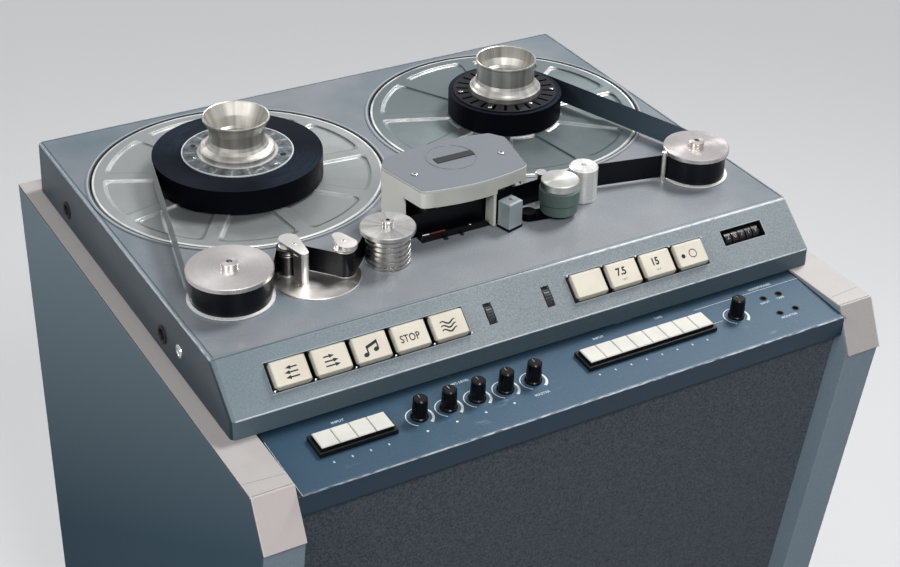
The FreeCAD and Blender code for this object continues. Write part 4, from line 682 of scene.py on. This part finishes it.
def dressMetal(parts, look):
    for name, (axis, color, roughness, more) in parts.items():
        material, _, z = turned(
            name.replace("_", "") + "Metal", color, roughness, axis,
            fans=more.get("fans"), streaks=more.get("streaks", 0.0))
        if name == "tape_guides":
            tintGuides(guideLook, z)
        if "fields" in more:
            pressedFields(fieldLook, axis, more["fields"])
        if name.startswith("tape_roller"):
            # Painted highlight on the foot flange of each tape roller.
            foot = between(z, 864.2 * mm, 863.9 * mm)
            tint(foot, look["rollerFoot"])
            setInput("Metallic", between(foot, 0, 1, 1.0, 0.2))
        if name == "pinch_arm":
            tint(between(z, 889.2 * mm, 888.8 * mm), look["armFoot"])
        if "metallic" in more:
            setInput("Metallic", more["metallic"])
        dress([name], material)
    for side in reelAxis:
        soften(f"turntable_{side}", 0.9, 2, 60)
    iron = moulded("motorIron", look["iron"], 0.6)
    dress(["drive_motors"], iron)
    heads, _, z = turned("headMetal", look["head"], 0.4, (0, 120))
    tint(between(z, 868.2 * mm, 867.8 * mm), look["headFoot"])
    setInput("Metallic", above(z, 868 * mm))
    dress(["head_block"], heads)


# Tape: packs with fine windings, the run between them, and the hubs inside.
tapeLook = {
    "side": tone(5, 6, 12),
    "top": (tone(6, 10, 19), tone(34, 46, 60)),  # dark, and where the windings catch the light
    "leftRun": tone(124, 127, 126),
    "rightRun": tone(78, 94, 106),
    "clear": tone(104, 111, 115),
    "cellEdge": tone(206, 212, 214),
    "cellFloor": tone(30, 38, 44),
    "clearRim": tone(226, 230, 232),
    "clearCore": tone(205, 206, 205),
    "black": tone(12, 13, 20),
    "packTop": 887.1,
    "sheenAngle": 300,
    "runEnd": -62,  # the strands behind this depth run to the packs
}


def dressTape(look):
    for side, centre in reelAxis.items():
        pack, radius, z = turned(f"tapePack{side}", look["top"][0], 0.42, centre, 5200, 0.5, 0.2)
        setInput("Metallic", 0.0)
        setInput("Specular IOR Level", 0.05)
        _, angle, _ = polar(centre)
        sheen = calc("COSINE", times(minus(angle, math.radians(look["sheenAngle"])), 2))
        lines = between(speckle(joined(radius, times(angle, 0.002)), 900, 4), 0.4, 0.62, 0.25, 1.0)
        light = times(between(sheen, 0.1, 1.0, 0.12, 0.8), lines)
        tint(light, look["top"][1])
        tint(between(z, look["packTop"] * mm, (look["packTop"] + 0.2) * mm, 1.0, 0.0), look["side"])
        dress([f"tape_pack_{side}"], pack)
    run = moulded("tapeRibbon", look["side"], 0.3, 0.0, 300, 0.03)
    setInput("Specular IOR Level", 0.2)
    x, y, _ = axes()
    # Painted sheen on the strands that run out to the packs.
    outer = above(y, look["runEnd"] * mm, 12 * mm)
    toLeft = times(between(x, -212 * mm, -222 * mm, 0.0, 0.85), outer)
    tint(toLeft, look["leftRun"])
    toRight = times(between(x, 212 * mm, 282 * mm, 0.0, 0.85), outer)
    tint(toRight, look["rightRun"])
    dress(["tape_run"], run)

    clear, radius, _ = turned("hubClear", look["clear"], 0.2, reelAxis["left"], 700, 0.3)
    setInput("Metallic", 0.35)
    _, angle, _ = polar(reelAxis["left"])
    cells = calc("ABSOLUTE", calc("SINE", times(angle, 9)))
    cloudy = between(speckle(partPoint(), 190, 4), 0.42, 0.6)
    tint(times(between(cells, 0.3, 0.1, 0.0, 0.6), cloudy), look["cellEdge"])
    tint(times(between(cells, 0.6, 0.95, 0.0, 0.75), cloudy), look["cellFloor"])
    # Painted highlight on the clear hub's outer rim.
    tint(above(radius, 56.0 * mm, 0.3 * mm), look["clearRim"])
    tint(between(radius, 42.0 * mm, 40.5 * mm), look["clearCore"])
    dress(["hub_left"], clear)
    black = moulded("hubBlack", look["black"], 0.4)
    setInput("Specular IOR Level", 0.16)
    dress(["hub_right"], black)


# Transport keys: their rows on the slope, and the legends in the key's own millimetres.
keyLook = {
    "top": 5.6,
    "row": 29,
    "pitch": 40,
    "five": (-174.3, ["rewind", "forward", "play", "stop", "record"]),
    "four": (119.9, ["plain", "speed_slow", "speed_fast", "power"]),
    "arrow": {"shaft": 1.35, "head": 5.2, "headWidth": 3.8},
    "rewind": (7.0, [(-4.4, 3.6), (-6.3, -0.8), (-6.4, -5.4)]),  # tail, then the tips
    "forward": (-7.4, [(3.4, 3.2), (6.2, -1.3), (6.9, -5.6)]),
}


# Plastic, rubber and the head cover.
plasticLook = {
    "key": tone(226, 219, 204),
    "keySkirt": tone(150, 145, 132),
    "keyHalf": (18.25, 13.6),
    "keyCorner": 4.6,
    "gap": tone(14, 16, 17),
    "smallKey": tone(216, 214, 207),
    "black": tone(9, 9, 11),
    "knob": tone(5, 5, 7),
    "drum": tone(30, 31, 35),
    "thumbwheel": tone(62, 65, 68),
    "coverBody": tone(197, 198, 190),
    "coverLeft": tone(238, 238, 232),
    "coverPlate": (tone(121, 125, 131), tone(112, 116, 122)),
    "plateRim": tone(214, 216, 214),
    "rubber": tone(98, 118, 113),
    "rubberLine": tone(28, 36, 38),
    "rubberShade": tone(24, 32, 34),
    "rubberShadeAngle": 190,
}


def dressPlastic(look):
    for middle, names in (keyLook["five"], keyLook["four"]):
        key = moulded(f"keyIvory{len(names)}", look["key"], 0.36, 0.1)
        x, down = slopePlace()
        first = middle - keyLook["pitch"] * (len(names) - 1) / 2
        aside = calc("PINGPONG", minus(x, first * mm), keyLook["pitch"] / 2 * mm)
        along = calc("ABSOLUTE", minus(down, keyLook["row"] * mm))
        r = look["keyCorner"]
        px = calc("MAXIMUM", minus(aside, (look["keyHalf"][0] - r) * mm), 0)
        py = calc("MAXIMUM", minus(along, (look["keyHalf"][1] - r) * mm), 0)
        away = lengthOf(px, py)  # round corners: 0 well inside the top, r at its edge
        # Painted shade on the keys' rounded edges and skirts, and a painted shadow gap round each key.
        mottle = between(speckle(partPoint(), 260, 4), 0.3, 0.7, 0.6, 1.0)
        skirt = times(between(away, (r - 3.0) * mm, (r - 0.3) * mm, 0.0, 0.8), mottle)
        tint(skirt, look["keySkirt"])
        tint(above(away, (r - 0.1) * mm, 0.3 * mm), look["gap"])
        dress([f"key_{n}" for n in names], key)
    small = moulded("smallKeyWhite", look["smallKey"], 0.38)
    tint(between(panelHeight(), 7.75 * mm, 7.65 * mm), look["black"])
    dress([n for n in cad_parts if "_key_" in n], small)
    black = moulded("knobBlack", look["knob"], 0.24)
    setInput("Specular IOR Level", 0.2)
    dress([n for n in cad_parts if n.startswith("knob_")], black)
    drums = moulded("drumBlack", look["drum"], 0.4)
    dress(["counter_drums"], drums)
    wheel = moulded("wheelPlastic", look["thumbwheel"], 0.4)
    dress(["thumbwheel_left", "thumbwheel_right"], wheel)
    body = moulded("coverBody", look["coverBody"], 0.36)
    x, _, _ = axes()
    # Painted light on the cover's left wall.
    tint(between(x, -46 * mm, -62 * mm, 0.0, 0.9), look["coverLeft"])
    dress(["head_cover"], body)
    plate = hammered("coverPlate", *look["coverPlate"], roughness=0.34, bump=0.1)
    _, _, z = axes()
    # Painted highlight along the plate's top edge.
    tint(between(z, 916.9 * mm, 916.6 * mm, 0.0, 0.75), look["plateRim"])
    dress(["head_cover_plate"], plate)
    rubber = moulded("pinchRubber", look["rubber"], 0.6)
    _, _, z = axes()
    line = calc("ABSOLUTE", minus(z, 877 * mm))
    tint(between(line, 0.9 * mm, 0.5 * mm, 0.0, 0.7), look["rubberLine"])
    _, angle, _ = polar((90, 80))
    facing = calc("COSINE", minus(angle, math.radians(look["rubberShadeAngle"])))
    tint(between(facing, 0.2, 0.95, 0.0, 0.6), look["rubberShade"])
    dress(["pinch_roller"], rubber)


dressConsole(consoleLook)
dressTransport(paintLook)
dressMetal(turnedLook, metalLook)
dressTape(tapeLook)
dressPlastic(plasticLook)
print("stage: materials")


# Meshes are made in local millimetres and laid on a frame of the part.
printLift = 0.05
onPanel = ("console", "panel_paint")
onChassis = ("console", "chassis_paint")
onCounter = ("console", "counter_plastic")


def addPiece(name, mesh, material, body, slot, smooth=False):
    mesh.materials.append(material)
    if smooth:
        mesh.shade_smooth()
    obj = bpy.data.objects.new(name, mesh)
    bpy.context.collection.objects.link(obj)
    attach(obj, body)
    return obj


def meshFrom(name, place, points, faces):
    mesh = bpy.data.meshes.new(name)
    mesh.from_pydata([place @ (Vector(p) * mm) for p in points], [], faces)
    mesh.update()
    return mesh


def flatPiece(name, place, shapes, material, body, slot, lift=printLift):  # thin print on a surface
    points, faces = [], []
    for shape in shapes:
        start = len(points)
        points += [(x, y, lift) for x, y in shape]
        faces.append(tuple(range(start, len(points))))
    return addPiece(name, meshFrom(name, place, points, faces), material, body, slot)


def stroke(path, width, closed=False):  # quads of one width along a line
    count = len(path)
    sides = []
    for i, (x, y) in enumerate(path):
        before = path[i - 1] if (i > 0 or closed) else path[i]
        after = path[(i + 1) % count] if (i + 1 < count or closed) else path[i]
        dx, dy = after[0] - before[0], after[1] - before[1]
        size = math.hypot(dx, dy) or 1
        wide = (width[i] if isinstance(width, (list, tuple)) else width) / 2
        across, along = -dy / size * wide, dx / size * wide
        sides.append(((x + across, y + along), (x - across, y - along)))
    pairs = zip(sides, sides[1:] + sides[:1] if closed else sides[1:])
    return [(left, right, nextRight, nextLeft) for (left, right), (nextLeft, nextRight) in pairs]


def arcPath(x, y, radius, start, end, steps=40):
    turns = [math.radians(start + (end - start) * i / steps) for i in range(steps + 1)]
    return [(x + radius * math.cos(t), y + radius * math.sin(t)) for t in turns]


def disc(x, y, radius):
    return [arcPath(x, y, radius, 0, 360, 24)[:-1]]


def rectangle(left, low, right, high):
    return [(left, low), (right, low), (right, high), (left, high)]


def spun(name, place, profile, material, body, slot, steps=40):  # turned solid from (radius, height)
    points, faces = [], []
    for i in range(steps):
        t = 2 * math.pi * i / steps
        points += [(r * math.cos(t), r * math.sin(t), z) for r, z in profile]
    n = len(profile)
    for i in range(steps):
        j = (i + 1) % steps
        for k in range(n - 1):
            faces.append((i * n + k, j * n + k, j * n + k + 1, i * n + k + 1))
    mesh = meshFrom(name, place, points, faces)
    build = bmesh.new()
    build.from_mesh(mesh)
    bmesh.ops.remove_doubles(build, verts=build.verts, dist=0.000002)
    bmesh.ops.recalc_face_normals(build, faces=build.faces)
    build.to_mesh(mesh)
    build.free()
    obj = addPiece(name, mesh, material, body, slot, True)
    edge = obj.modifiers.new("creases", "EDGE_SPLIT")
    edge.split_angle = math.radians(40)
    return obj


def word(name, place, text, height, material, body, slot, weight=0.0, spacing=1.0):
    data = bpy.data.curves.new(name, "FONT")
    data.body = text
    data.size = height / 0.7 * mm
    data.align_x = "CENTER"
    data.align_y = "CENTER"
    data.offset = weight * mm
    data.space_character = spacing
    data.materials.append(material)
    obj = bpy.data.objects.new(name, data)
    obj.matrix_world = place @ Matrix.Translation((0, 0, printLift * mm))
    bpy.context.collection.objects.link(obj)
    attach(obj, body)
    return obj


ink = moulded("legendInk", tone(26, 26, 28), 0.5)
fadedInk = moulded("fadedInk", tone(96, 92, 84), 0.5)
whitePrint = moulded("whitePrint", tone(218, 226, 230), 0.5)
thinPrint = moulded("thinPrint", tone(182, 198, 208), 0.5)
drumPrint = moulded("drumPrint", tone(132, 138, 142), 0.5)
wallGrey = moulded("wallGrey", tone(118, 127, 133), 0.5)
brightEdge = moulded("brightEdge", tone(216, 224, 228), 0.3)
trayBlack = moulded("trayBlack", tone(18, 20, 21), 0.5)
trimLine = moulded("trimLine", tone(128, 124, 122), 0.6)
rimPaint = moulded("rimPaint", tone(164, 174, 180), 0.35)
holeBlack = moulded("holeBlack", tone(12, 12, 14), 0.6)
nickel = moulded("nickel", tone(225, 225, 222), 0.22)
setInput("Metallic", 1.0)


def arrowShapes(look, tail, tips):
    shapes = []
    half = look["headWidth"] / 2
    for tip, y in tips:
        neck = tip + math.copysign(look["head"], tail)
        shapes.append([(tip, y), (neck, y + half), (neck, y - half)])
        shapes += stroke([(neck, y), (tail, y)], look["shaft"])
    return shapes


def noteShapes():
    shapes = []
    for x, y in ((-7.2, -5.7), (3.6, -2.7)):
        head = [(x + 2.7 * math.cos(t) - 0.5 * math.sin(t), y + 2.0 * math.sin(t) + 0.7 * math.cos(t))
                for t in (2 * math.pi * i / 20 for i in range(20))]
        shapes.append(head)
    shapes += stroke([(-5.1, -5.3), (-5.1, 1.8)], 1.4)
    shapes += stroke([(5.7, -2.3), (5.7, 5.2)], 1.4)
    shapes.append([(-5.8, 2.2), (6.4, 6.1), (6.4, 3.2), (-5.8, -0.7)])
    return shapes


def waveShapes():
    shapes = []
    for y in (2.7, -1.2, -5.1):
        parts = [i / 24 for i in range(25)]
        path = [(-9.0 + 15.6 * t, y + 1.5 * math.sin(2 * math.pi * t * 1.25 + 0.35)) for t in parts]
        shapes += stroke(path, [0.95 + 0.65 * math.sin(math.pi * t) for t in parts])
    return shapes


def makeLegends(look):
    seats = {}
    for middle, names in (look["five"], look["four"]):
        for i, name in enumerate(names):
            x = middle + look["pitch"] * (i - (len(names) - 1) / 2)
            seats[name] = (slopeFrame(x, look["row"], look["top"]), f"key_{name}_body", "key_plastic")
    for name, shapes in (
        ("rewind", arrowShapes(look["arrow"], *look["rewind"])),
        ("forward", arrowShapes(look["arrow"], *look["forward"])),
        ("play", noteShapes()),
        ("record", waveShapes()),
        ("power", disc(-9.6, -1.0, 2.3) + stroke(arcPath(2.0, -0.4, 4.1, 0, 354), 0.9, True)),
    ):
        place, body, slot = seats[name]
        flatPiece(f"legend_{name}", place, shapes, ink, body, slot)
    place, body, slot = seats["stop"]
    narrow = place @ Matrix.Translation((-1.7 * mm, -1.7 * mm, 0)) @ Matrix.Diagonal((0.82, 1, 1, 1))
    word("legend_stop", narrow, "STOP", 7.0, ink, body, slot, 0.14, 1.04)
    for name, text in (("speed_slow", "7.5"), ("speed_fast", "15")):
        place, body, slot = seats[name]
        up = place @ Matrix.Translation((-2.6 * mm, 2.0 * mm, 0)) @ Matrix.Diagonal((0.9, 1, 1, 1))
        word(f"legend_{name}", up, text, 7.4, ink, body, slot, 0.34, 0.98)
        low = place @ Matrix.Translation((-1.6 * mm, -5.8 * mm, 0))
        word(f"unit_{name}", low, "i p s", 2.2, fadedInk, body, slot, 0.06)


makeLegends(keyLook)

# Dark linings of the two key trays, with the small pins between the keys.
trayLook = {"depth": 11.3, "half": 14.2, "low": 42.4, "high": 16.2, "pinRadius": 0.72}


def openBox(name, place, wide, deep, top, bottom, material, body, slot):
    points = [(sx * wide, sy * deep, z) for z in (top, bottom) for sx, sy in corners]
    faces = [(0, 1, 5, 4), (1, 2, 6, 5), (2, 3, 7, 6), (3, 0, 4, 7), (4, 5, 6, 7)]
    return addPiece(name, meshFrom(name, place, points, faces), material, body, slot)


def makeTrays(look, keys):
    for group, wide, pins in (("five", 100, look["low"]), ("four", 80, look["high"])):
        middle, names = keys[group]
        place = slopeFrame(middle, keys["row"])
        box = (wide - 0.06, look["half"], -0.12, -look["depth"])
        openBox(f"tray_{group}", place, *box, trayBlack, *onChassis)
        # A lighter rim round each tray: partly its frame, partly a painted highlight.
        edge = [(sx * (wide + 0.7), sy * (look["half"] + 0.7)) for sx, sy in corners]
        flatPiece(f"tray_rim_{group}", place, stroke(edge, 0.6, True), rimPaint, *onChassis)
        for i in range(len(names) + 1):
            x = middle - wide + keys["pitch"] * i
            x += 0.75 if i == 0 else (-0.75 if i == len(names) else 0)
            r = look["pinRadius"]
            profile = [(0, 4.4), (0.8, 4.2), (1.1, 3.6), (1.1, 1.5), (r, 1.1), (r, -6), (0, -6)]
            spun(f"pin_{group}_{i}", slopeFrame(x, pins), profile, nickel, "console", "steel", 12)


makeTrays(trayLook, keyLook)
print("stage: keys")

# White print on the monitor panel.
printLook = {
    "knobs": [-156 + 29.9 * i for i in range(5)] + [198.6],
    "row": 49,
    "knobTop": 21.25,
    "knobLine": (-0.45, 0.6, 0.45, 5.4),
    "arcRadius": 12.6,
    "dots": 28.2,
    "lines": [((166, 75), (296, 75)), ((166, 48.2), (182, 48.2))],
    "seams": [(-296.6, -3, -294.4, 90), (295.6, -3, 296.6, 90)],
    "seamLight": ((-294.1, 0), (-294.1, 78)),
    "smallPitch": 17.8,
    "ticks": [(87, 8, 28.2), (-224.6, 4, 26.2)],  # middle, count, back
    "words": [
        ("INPUT", -224.5, 75.5, 3.0), ("MIC LEVEL", -99, 77, 2.8), ("MASTER", -38.7, 28.9, 3.0),
        ("INPUT", 55, 78.6, 2.9), ("MONITOR", 91.8, 91.4, 2.9), ("TAPE", 126.5, 80.4, 2.7),
        ("HEADPHONES", 250.2, 79.2, 2.9), ("INPUT", 239.3, 54.6, 2.7), ("TAPE", 258.5, 54.9, 2.7),
        ("MONITOR", 247.7, 26.4, 2.8),
    ],
    "jacks": [(251.5 + sx * 9.7, 47.6 + sy * 13.75) for sy in (-1, 1) for sx in (-1, 1)],
}


def makePanelPrint(look):
    origin = panelFrame(0, 0)
    for i, x in enumerate(look["knobs"]):
        path = arcPath(x, look["row"], look["arcRadius"], 238, -58)
        widths = [0.95 + 1.9 * max(0, (k / 40 - 0.45) / 0.55) ** 1.2 for k in range(41)]
        flatPiece(f"arc_{i}", origin, stroke(path, widths), whitePrint, *onPanel)
        if i < 4:
            flatPiece(f"dot_{i}", origin, disc(x - 2.8, look["dots"], 1.15), whitePrint, *onPanel)
    ticks = []
    for middle, count, back in look["ticks"]:
        for k in range(count):
            x = middle + look["smallPitch"] * (k - (count - 1) / 2)
            ticks += stroke([(x, back), (x, back + 2.4)], 1.5)
    flatPiece("key_ticks", origin, ticks, thinPrint, *onPanel)
    lines = [shape for path in look["lines"] for shape in stroke(path, 0.55)]
    flatPiece("panel_lines", origin, lines, thinPrint, *onPanel)
    # Black strips at the panel's ends are painted shadow in the gaps beside the armrests.
    seams = [rectangle(*seam) for seam in look["seams"]]
    flatPiece("panel_seams", origin, seams, holeBlack, *onPanel)
    flatPiece("panel_seam_light", origin, stroke(look["seamLight"], 0.45), thinPrint, *onPanel)
    for i, (text, x, back, height) in enumerate(look["words"]):
        word(f"label_{i}", panelFrame(x, back), text, height, thinPrint, *onPanel, 0.1, 1.05)
    for i, (x, back) in enumerate(look["jacks"]):
        cup = [(3.9, 0.02), (3.9, 0.25), (3.4, 0.4), (2.75, 0.3), (2.6, -1), (2.6, -9), (0, -9)]
        spun(f"jack_{i}", panelFrame(x, back), cup, holeBlack, "console", "black_plastic", 24)


def makeKnobMarks(look):
    for i, x in enumerate(look["knobs"]):
        body = f"knob_{i + 1}_body" if i < 5 else "knob_monitor_body"
        top = panelFrame(x, look["row"], look["knobTop"])
        flatPiece(f"knob_line_{i}", top, [rectangle(*look["knobLine"])], whitePrint, body, "knob_plastic")


makePanelPrint(printLook)
makeKnobMarks(printLook)
print("stage: panel print")

# Counter: dark window lining, digits on the drums, a lit back wall, a thin rim painted lighter as a highlight
# and a painted highlight along the lower edge.
counterLook = {
    "x": 250.4,
    "down": 23,
    "half": (25.4, 8.3),
    "deep": 16.8,
    "drumTop": -0.72,
    "digits": "20719",
    "first": 232.6,
    "pitch": 8.56,
    "rim": [(0.0, 0.0), (0.0, 0.22), (-0.9, 0.22), (-0.9, 0.0)],  # inset and height
    "wall": (-0.4, -3),
    "rose": tone(184, 146, 148),
}


def makeCounter(look):
    wide, deep = look["half"]
    place = slopeFrame(look["x"], look["down"])
    box = (wide - 0.05, deep - 0.05, -0.6, -look["deep"])
    openBox("counter_lining", place, *box, trayBlack, *onCounter)
    for i, digit in enumerate(look["digits"]):
        seat = slopeFrame(look["first"] + look["pitch"] * i, look["down"], look["drumTop"])
        color = moulded("digitRose", look["rose"], 0.5) if i == 1 else drumPrint
        word(f"digit_{i}", seat, digit, 4.6, color, *onCounter, 0.12)
    points = []
    for inset, rise in look["rim"]:
        points += [(sx * (wide - inset), sy * (deep - inset), rise + 0.01) for sx, sy in corners]
    faces = []
    for loop in range(0, len(points) - 4, 4):
        for k in range(4):
            after = (k + 1) % 4
            faces.append((loop + k, loop + after, loop + after + 4, loop + k + 4))
    addPiece("counter_rim", meshFrom("counter_rim", place, points, faces), rimPaint, *onChassis)
    right, back = wide - 0.1, deep - 0.12
    top, low = look["wall"]
    wall = [(-right, back, top), (right, back, top), (right, back, low), (-right, back, low)]
    addPiece("counter_wall", meshFrom("counter_wall", place, wall, [(3, 2, 1, 0)]), wallGrey, *onCounter)
    # Painted highlight along the window's lower edge.
    edge = stroke([(-wide, -deep - 0.5), (wide + 1.4, -deep - 0.5)], 0.9)
    flatPiece("counter_edge", place, edge, brightEdge, *onChassis)


makeCounter(counterLook)

# Head cover: the bare bar in its ring, two screws.
badgeLook = {
    "place": (3, 141),
    "top": 57.2,
    "bar": (43, 10.5),
    "slant": (0.3, 0.7),
    "black": tone(20, 22, 26),
    "screws": [(-49, 127), (49, 127)],
}


def makeBadge(look):
    length, width = look["bar"]
    place = deckFrame(*look["place"], look["top"] + 0.02)
    slant, rise = look["slant"]
    points = [(sx * length / 2, sy * width / 2, 0) for sx, sy in corners]
    points += [(sx * (length / 2 - slant), sy * (width / 2 - slant), rise) for sx, sy in corners]
    faces = [(k, (k + 1) % 4, (k + 1) % 4 + 4, k + 4) for k in range(4)] + [(4, 5, 6, 7)]
    badgeBlack = moulded("badgeBlack", look["black"], 0.3, 0.2)
    addPiece("badge_bar", meshFrom("badge_bar", place, points, faces), badgeBlack, "console", "cover_plate")
    for i, (x, setback) in enumerate(look["screws"]):
        screw(f"cover_screw_{i}", deckFrame(x, setback, look["top"] + 0.8, 25 + 60 * i), 3.2, 0.35, "console")


def screw(name, place, radius, rise, body, slot="steel"):  # round head with a cross recess
    profile = [(0, rise), (radius * 0.55, rise * 0.95), (radius * 0.9, rise * 0.5), (radius, 0), (radius, -0.3)]
    spun(name, place, profile, nickel, body, slot, 20)
    r = radius * 0.55
    cross = stroke([(-r, 0), (r, 0)], radius * 0.28) + stroke([(0, -r), (0, r)], radius * 0.28)
    flatPiece(f"{name}_slot", place, cross, holeBlack, body, slot, rise + 0.03)


makeBadge(badgeLook)

# Screws on both hubs: their size, then angle and distance of each.
hubLook = {
    "top": 28.5,
    "left": (1.9, [(174.5, 45), (-63, 49)]),
    "right": (2.3, [(40, 49), (100, 47), (160, 49), (220, 49), (280, 43), (335, 52)]),
}


def makeHubScrews(look):
    for side, (x, setback) in reelAxis.items():
        radius, seats = look[side]
        for i, (angle, ring) in enumerate(seats):
            t = math.radians(angle)
            place = deckFrame(x + ring * math.cos(t), setback + ring * math.sin(t), look["top"], 20 * i)
            screw(f"hub_screw_{side}_{i}", place, radius, 0.5, f"reel_{side}")


makeHubScrews(hubLook)

# Side wall of the chassis: two rubber grommets and a bright socket. Seams on the trims.
sideLook = {
    "x": -318.9,
    "lean": 1.5 / 57.7,
    "holes": [(380, 39, 8), (116, 39, 8)],  # setback, drop, radius
    "socket": (74, 33, 5),
    # profiles: added radius and height
    "grommet": [(1.6, -0.6), (1.4, 0.5), (0.3, 1.0), (-1.6, 0.6), (-2.2, -1.5), (-2.2, -4)],
    "ring": [(1.8, -0.5), (1.6, 0.6), (0.4, 1.1), (-1.4, 1.0), (-1.8, 0.2), (-1.8, -6)],
    "trimTop": 802.3,
    "trimSeam": ((335.5, -275.6), (298.3, -278.8)),
}


def sideFrame(look, setback, drop):  # Z points out of the left wall
    place = deckFrame(look["x"] - drop * look["lean"], setback, -drop)
    return place @ Matrix.Rotation(math.radians(-90), 4, "Y")


def fitting(name, place, radius, shape, material, slot):
    profile = [(radius + more, height) for more, height in shape] + [(0, shape[-1][1])]
    spun(name, place, profile, material, "console", slot, 32)


def makeSideFittings(look):
    level = Matrix.Translation((0, 0, look["trimTop"] * mm))
    for side in (-1, 1):
        seam = stroke([(side * x, y) for x, y in look["trimSeam"]], 0.5)
        flatPiece(f"trim_line_{side + 2}", level, seam, trimLine, "console", "armrest_trim")
    for i, (setback, drop, radius) in enumerate(look["holes"]):
        place = sideFrame(look, setback, drop)
        fitting(f"grommet_{i}", place, radius, look["grommet"], holeBlack, "black_plastic")
        screw(f"grommet_screw_{i}", place @ Matrix.Translation((0, 0, -3.6 * mm)), radius - 3.4, 1.0, "console")
    setback, drop, radius = look["socket"]
    fitting("side_socket", sideFrame(look, setback, drop), radius, look["ring"], nickel, "steel")


# In front of the heads: thin bars, feet and a screw. On the guides: screws and the cue block's dimple.
def bar(name, start, end, height, radius, material, slot):  # thin round bar lying over the deck
    dx, dy = end[0] - start[0], end[1] - start[1]
    long = math.hypot(dx, dy)
    level = deckFrame(*start, height, math.degrees(math.atan2(dy, dx)))
    place = level @ Matrix.Rotation(math.radians(90), 4, "Y")
    spun(name, place, [(0, 0), (radius, 0.3), (radius, long - 0.3), (0, long)], material, "console", slot, 12)


def makeHeadBits(look):
    for i, (start, end, height, radius, material) in enumerate(look["bars"]):
        bar(f"head_wire_{i}", start, end, height, radius, material, "head_metal")
    for i, (x, setback, radius) in enumerate(look["feet"]):
        dome = [(0, 1.8), (radius * 0.6, 1.6), (radius, 0.6), (radius, 0.0)]
        spun(f"head_foot_{i}", deckFrame(x, setback), dome, holeBlack, "console", "head_metal", 20)
    screw("head_screw", deckFrame(*look["screw"]), 1.6, 0.4, "console")


def makeGuideScrews():
    for i, (x, setback) in enumerate(((-192.8, 96), (-149.4, 80))):
        screw(f"guide_screw_{i}", deckFrame(x, setback, 34.5, 30 * i), 1.7, 0.25, "console")
    dimple = [(0, 0.9), (1.4, 0.8), (1.9, 0.3), (2.0, 0.0)]
    spun("cue_dimple", deckFrame(33.6, 81.1, 31.0), dimple, fadedInk, "console", "guide_metal", 16)


makeSideFittings(sideLook)
makeGuideScrews()
redBrown = moulded("redBrown", tone(104, 46, 38), 0.4)
makeHeadBits({
    "bars": [((-58.5, 94), (-50.5, 93.4), 7.6, 1.0, nickel), ((-50, 93.4), (-33, 93.2), 7.6, 0.9, redBrown)],
    "feet": [(-34, 89.4, 2.7), (-16, 89.6, 2.3)],
    "screw": (-5, 93.5, 7.05, 20),
})
print("stage: fittings")
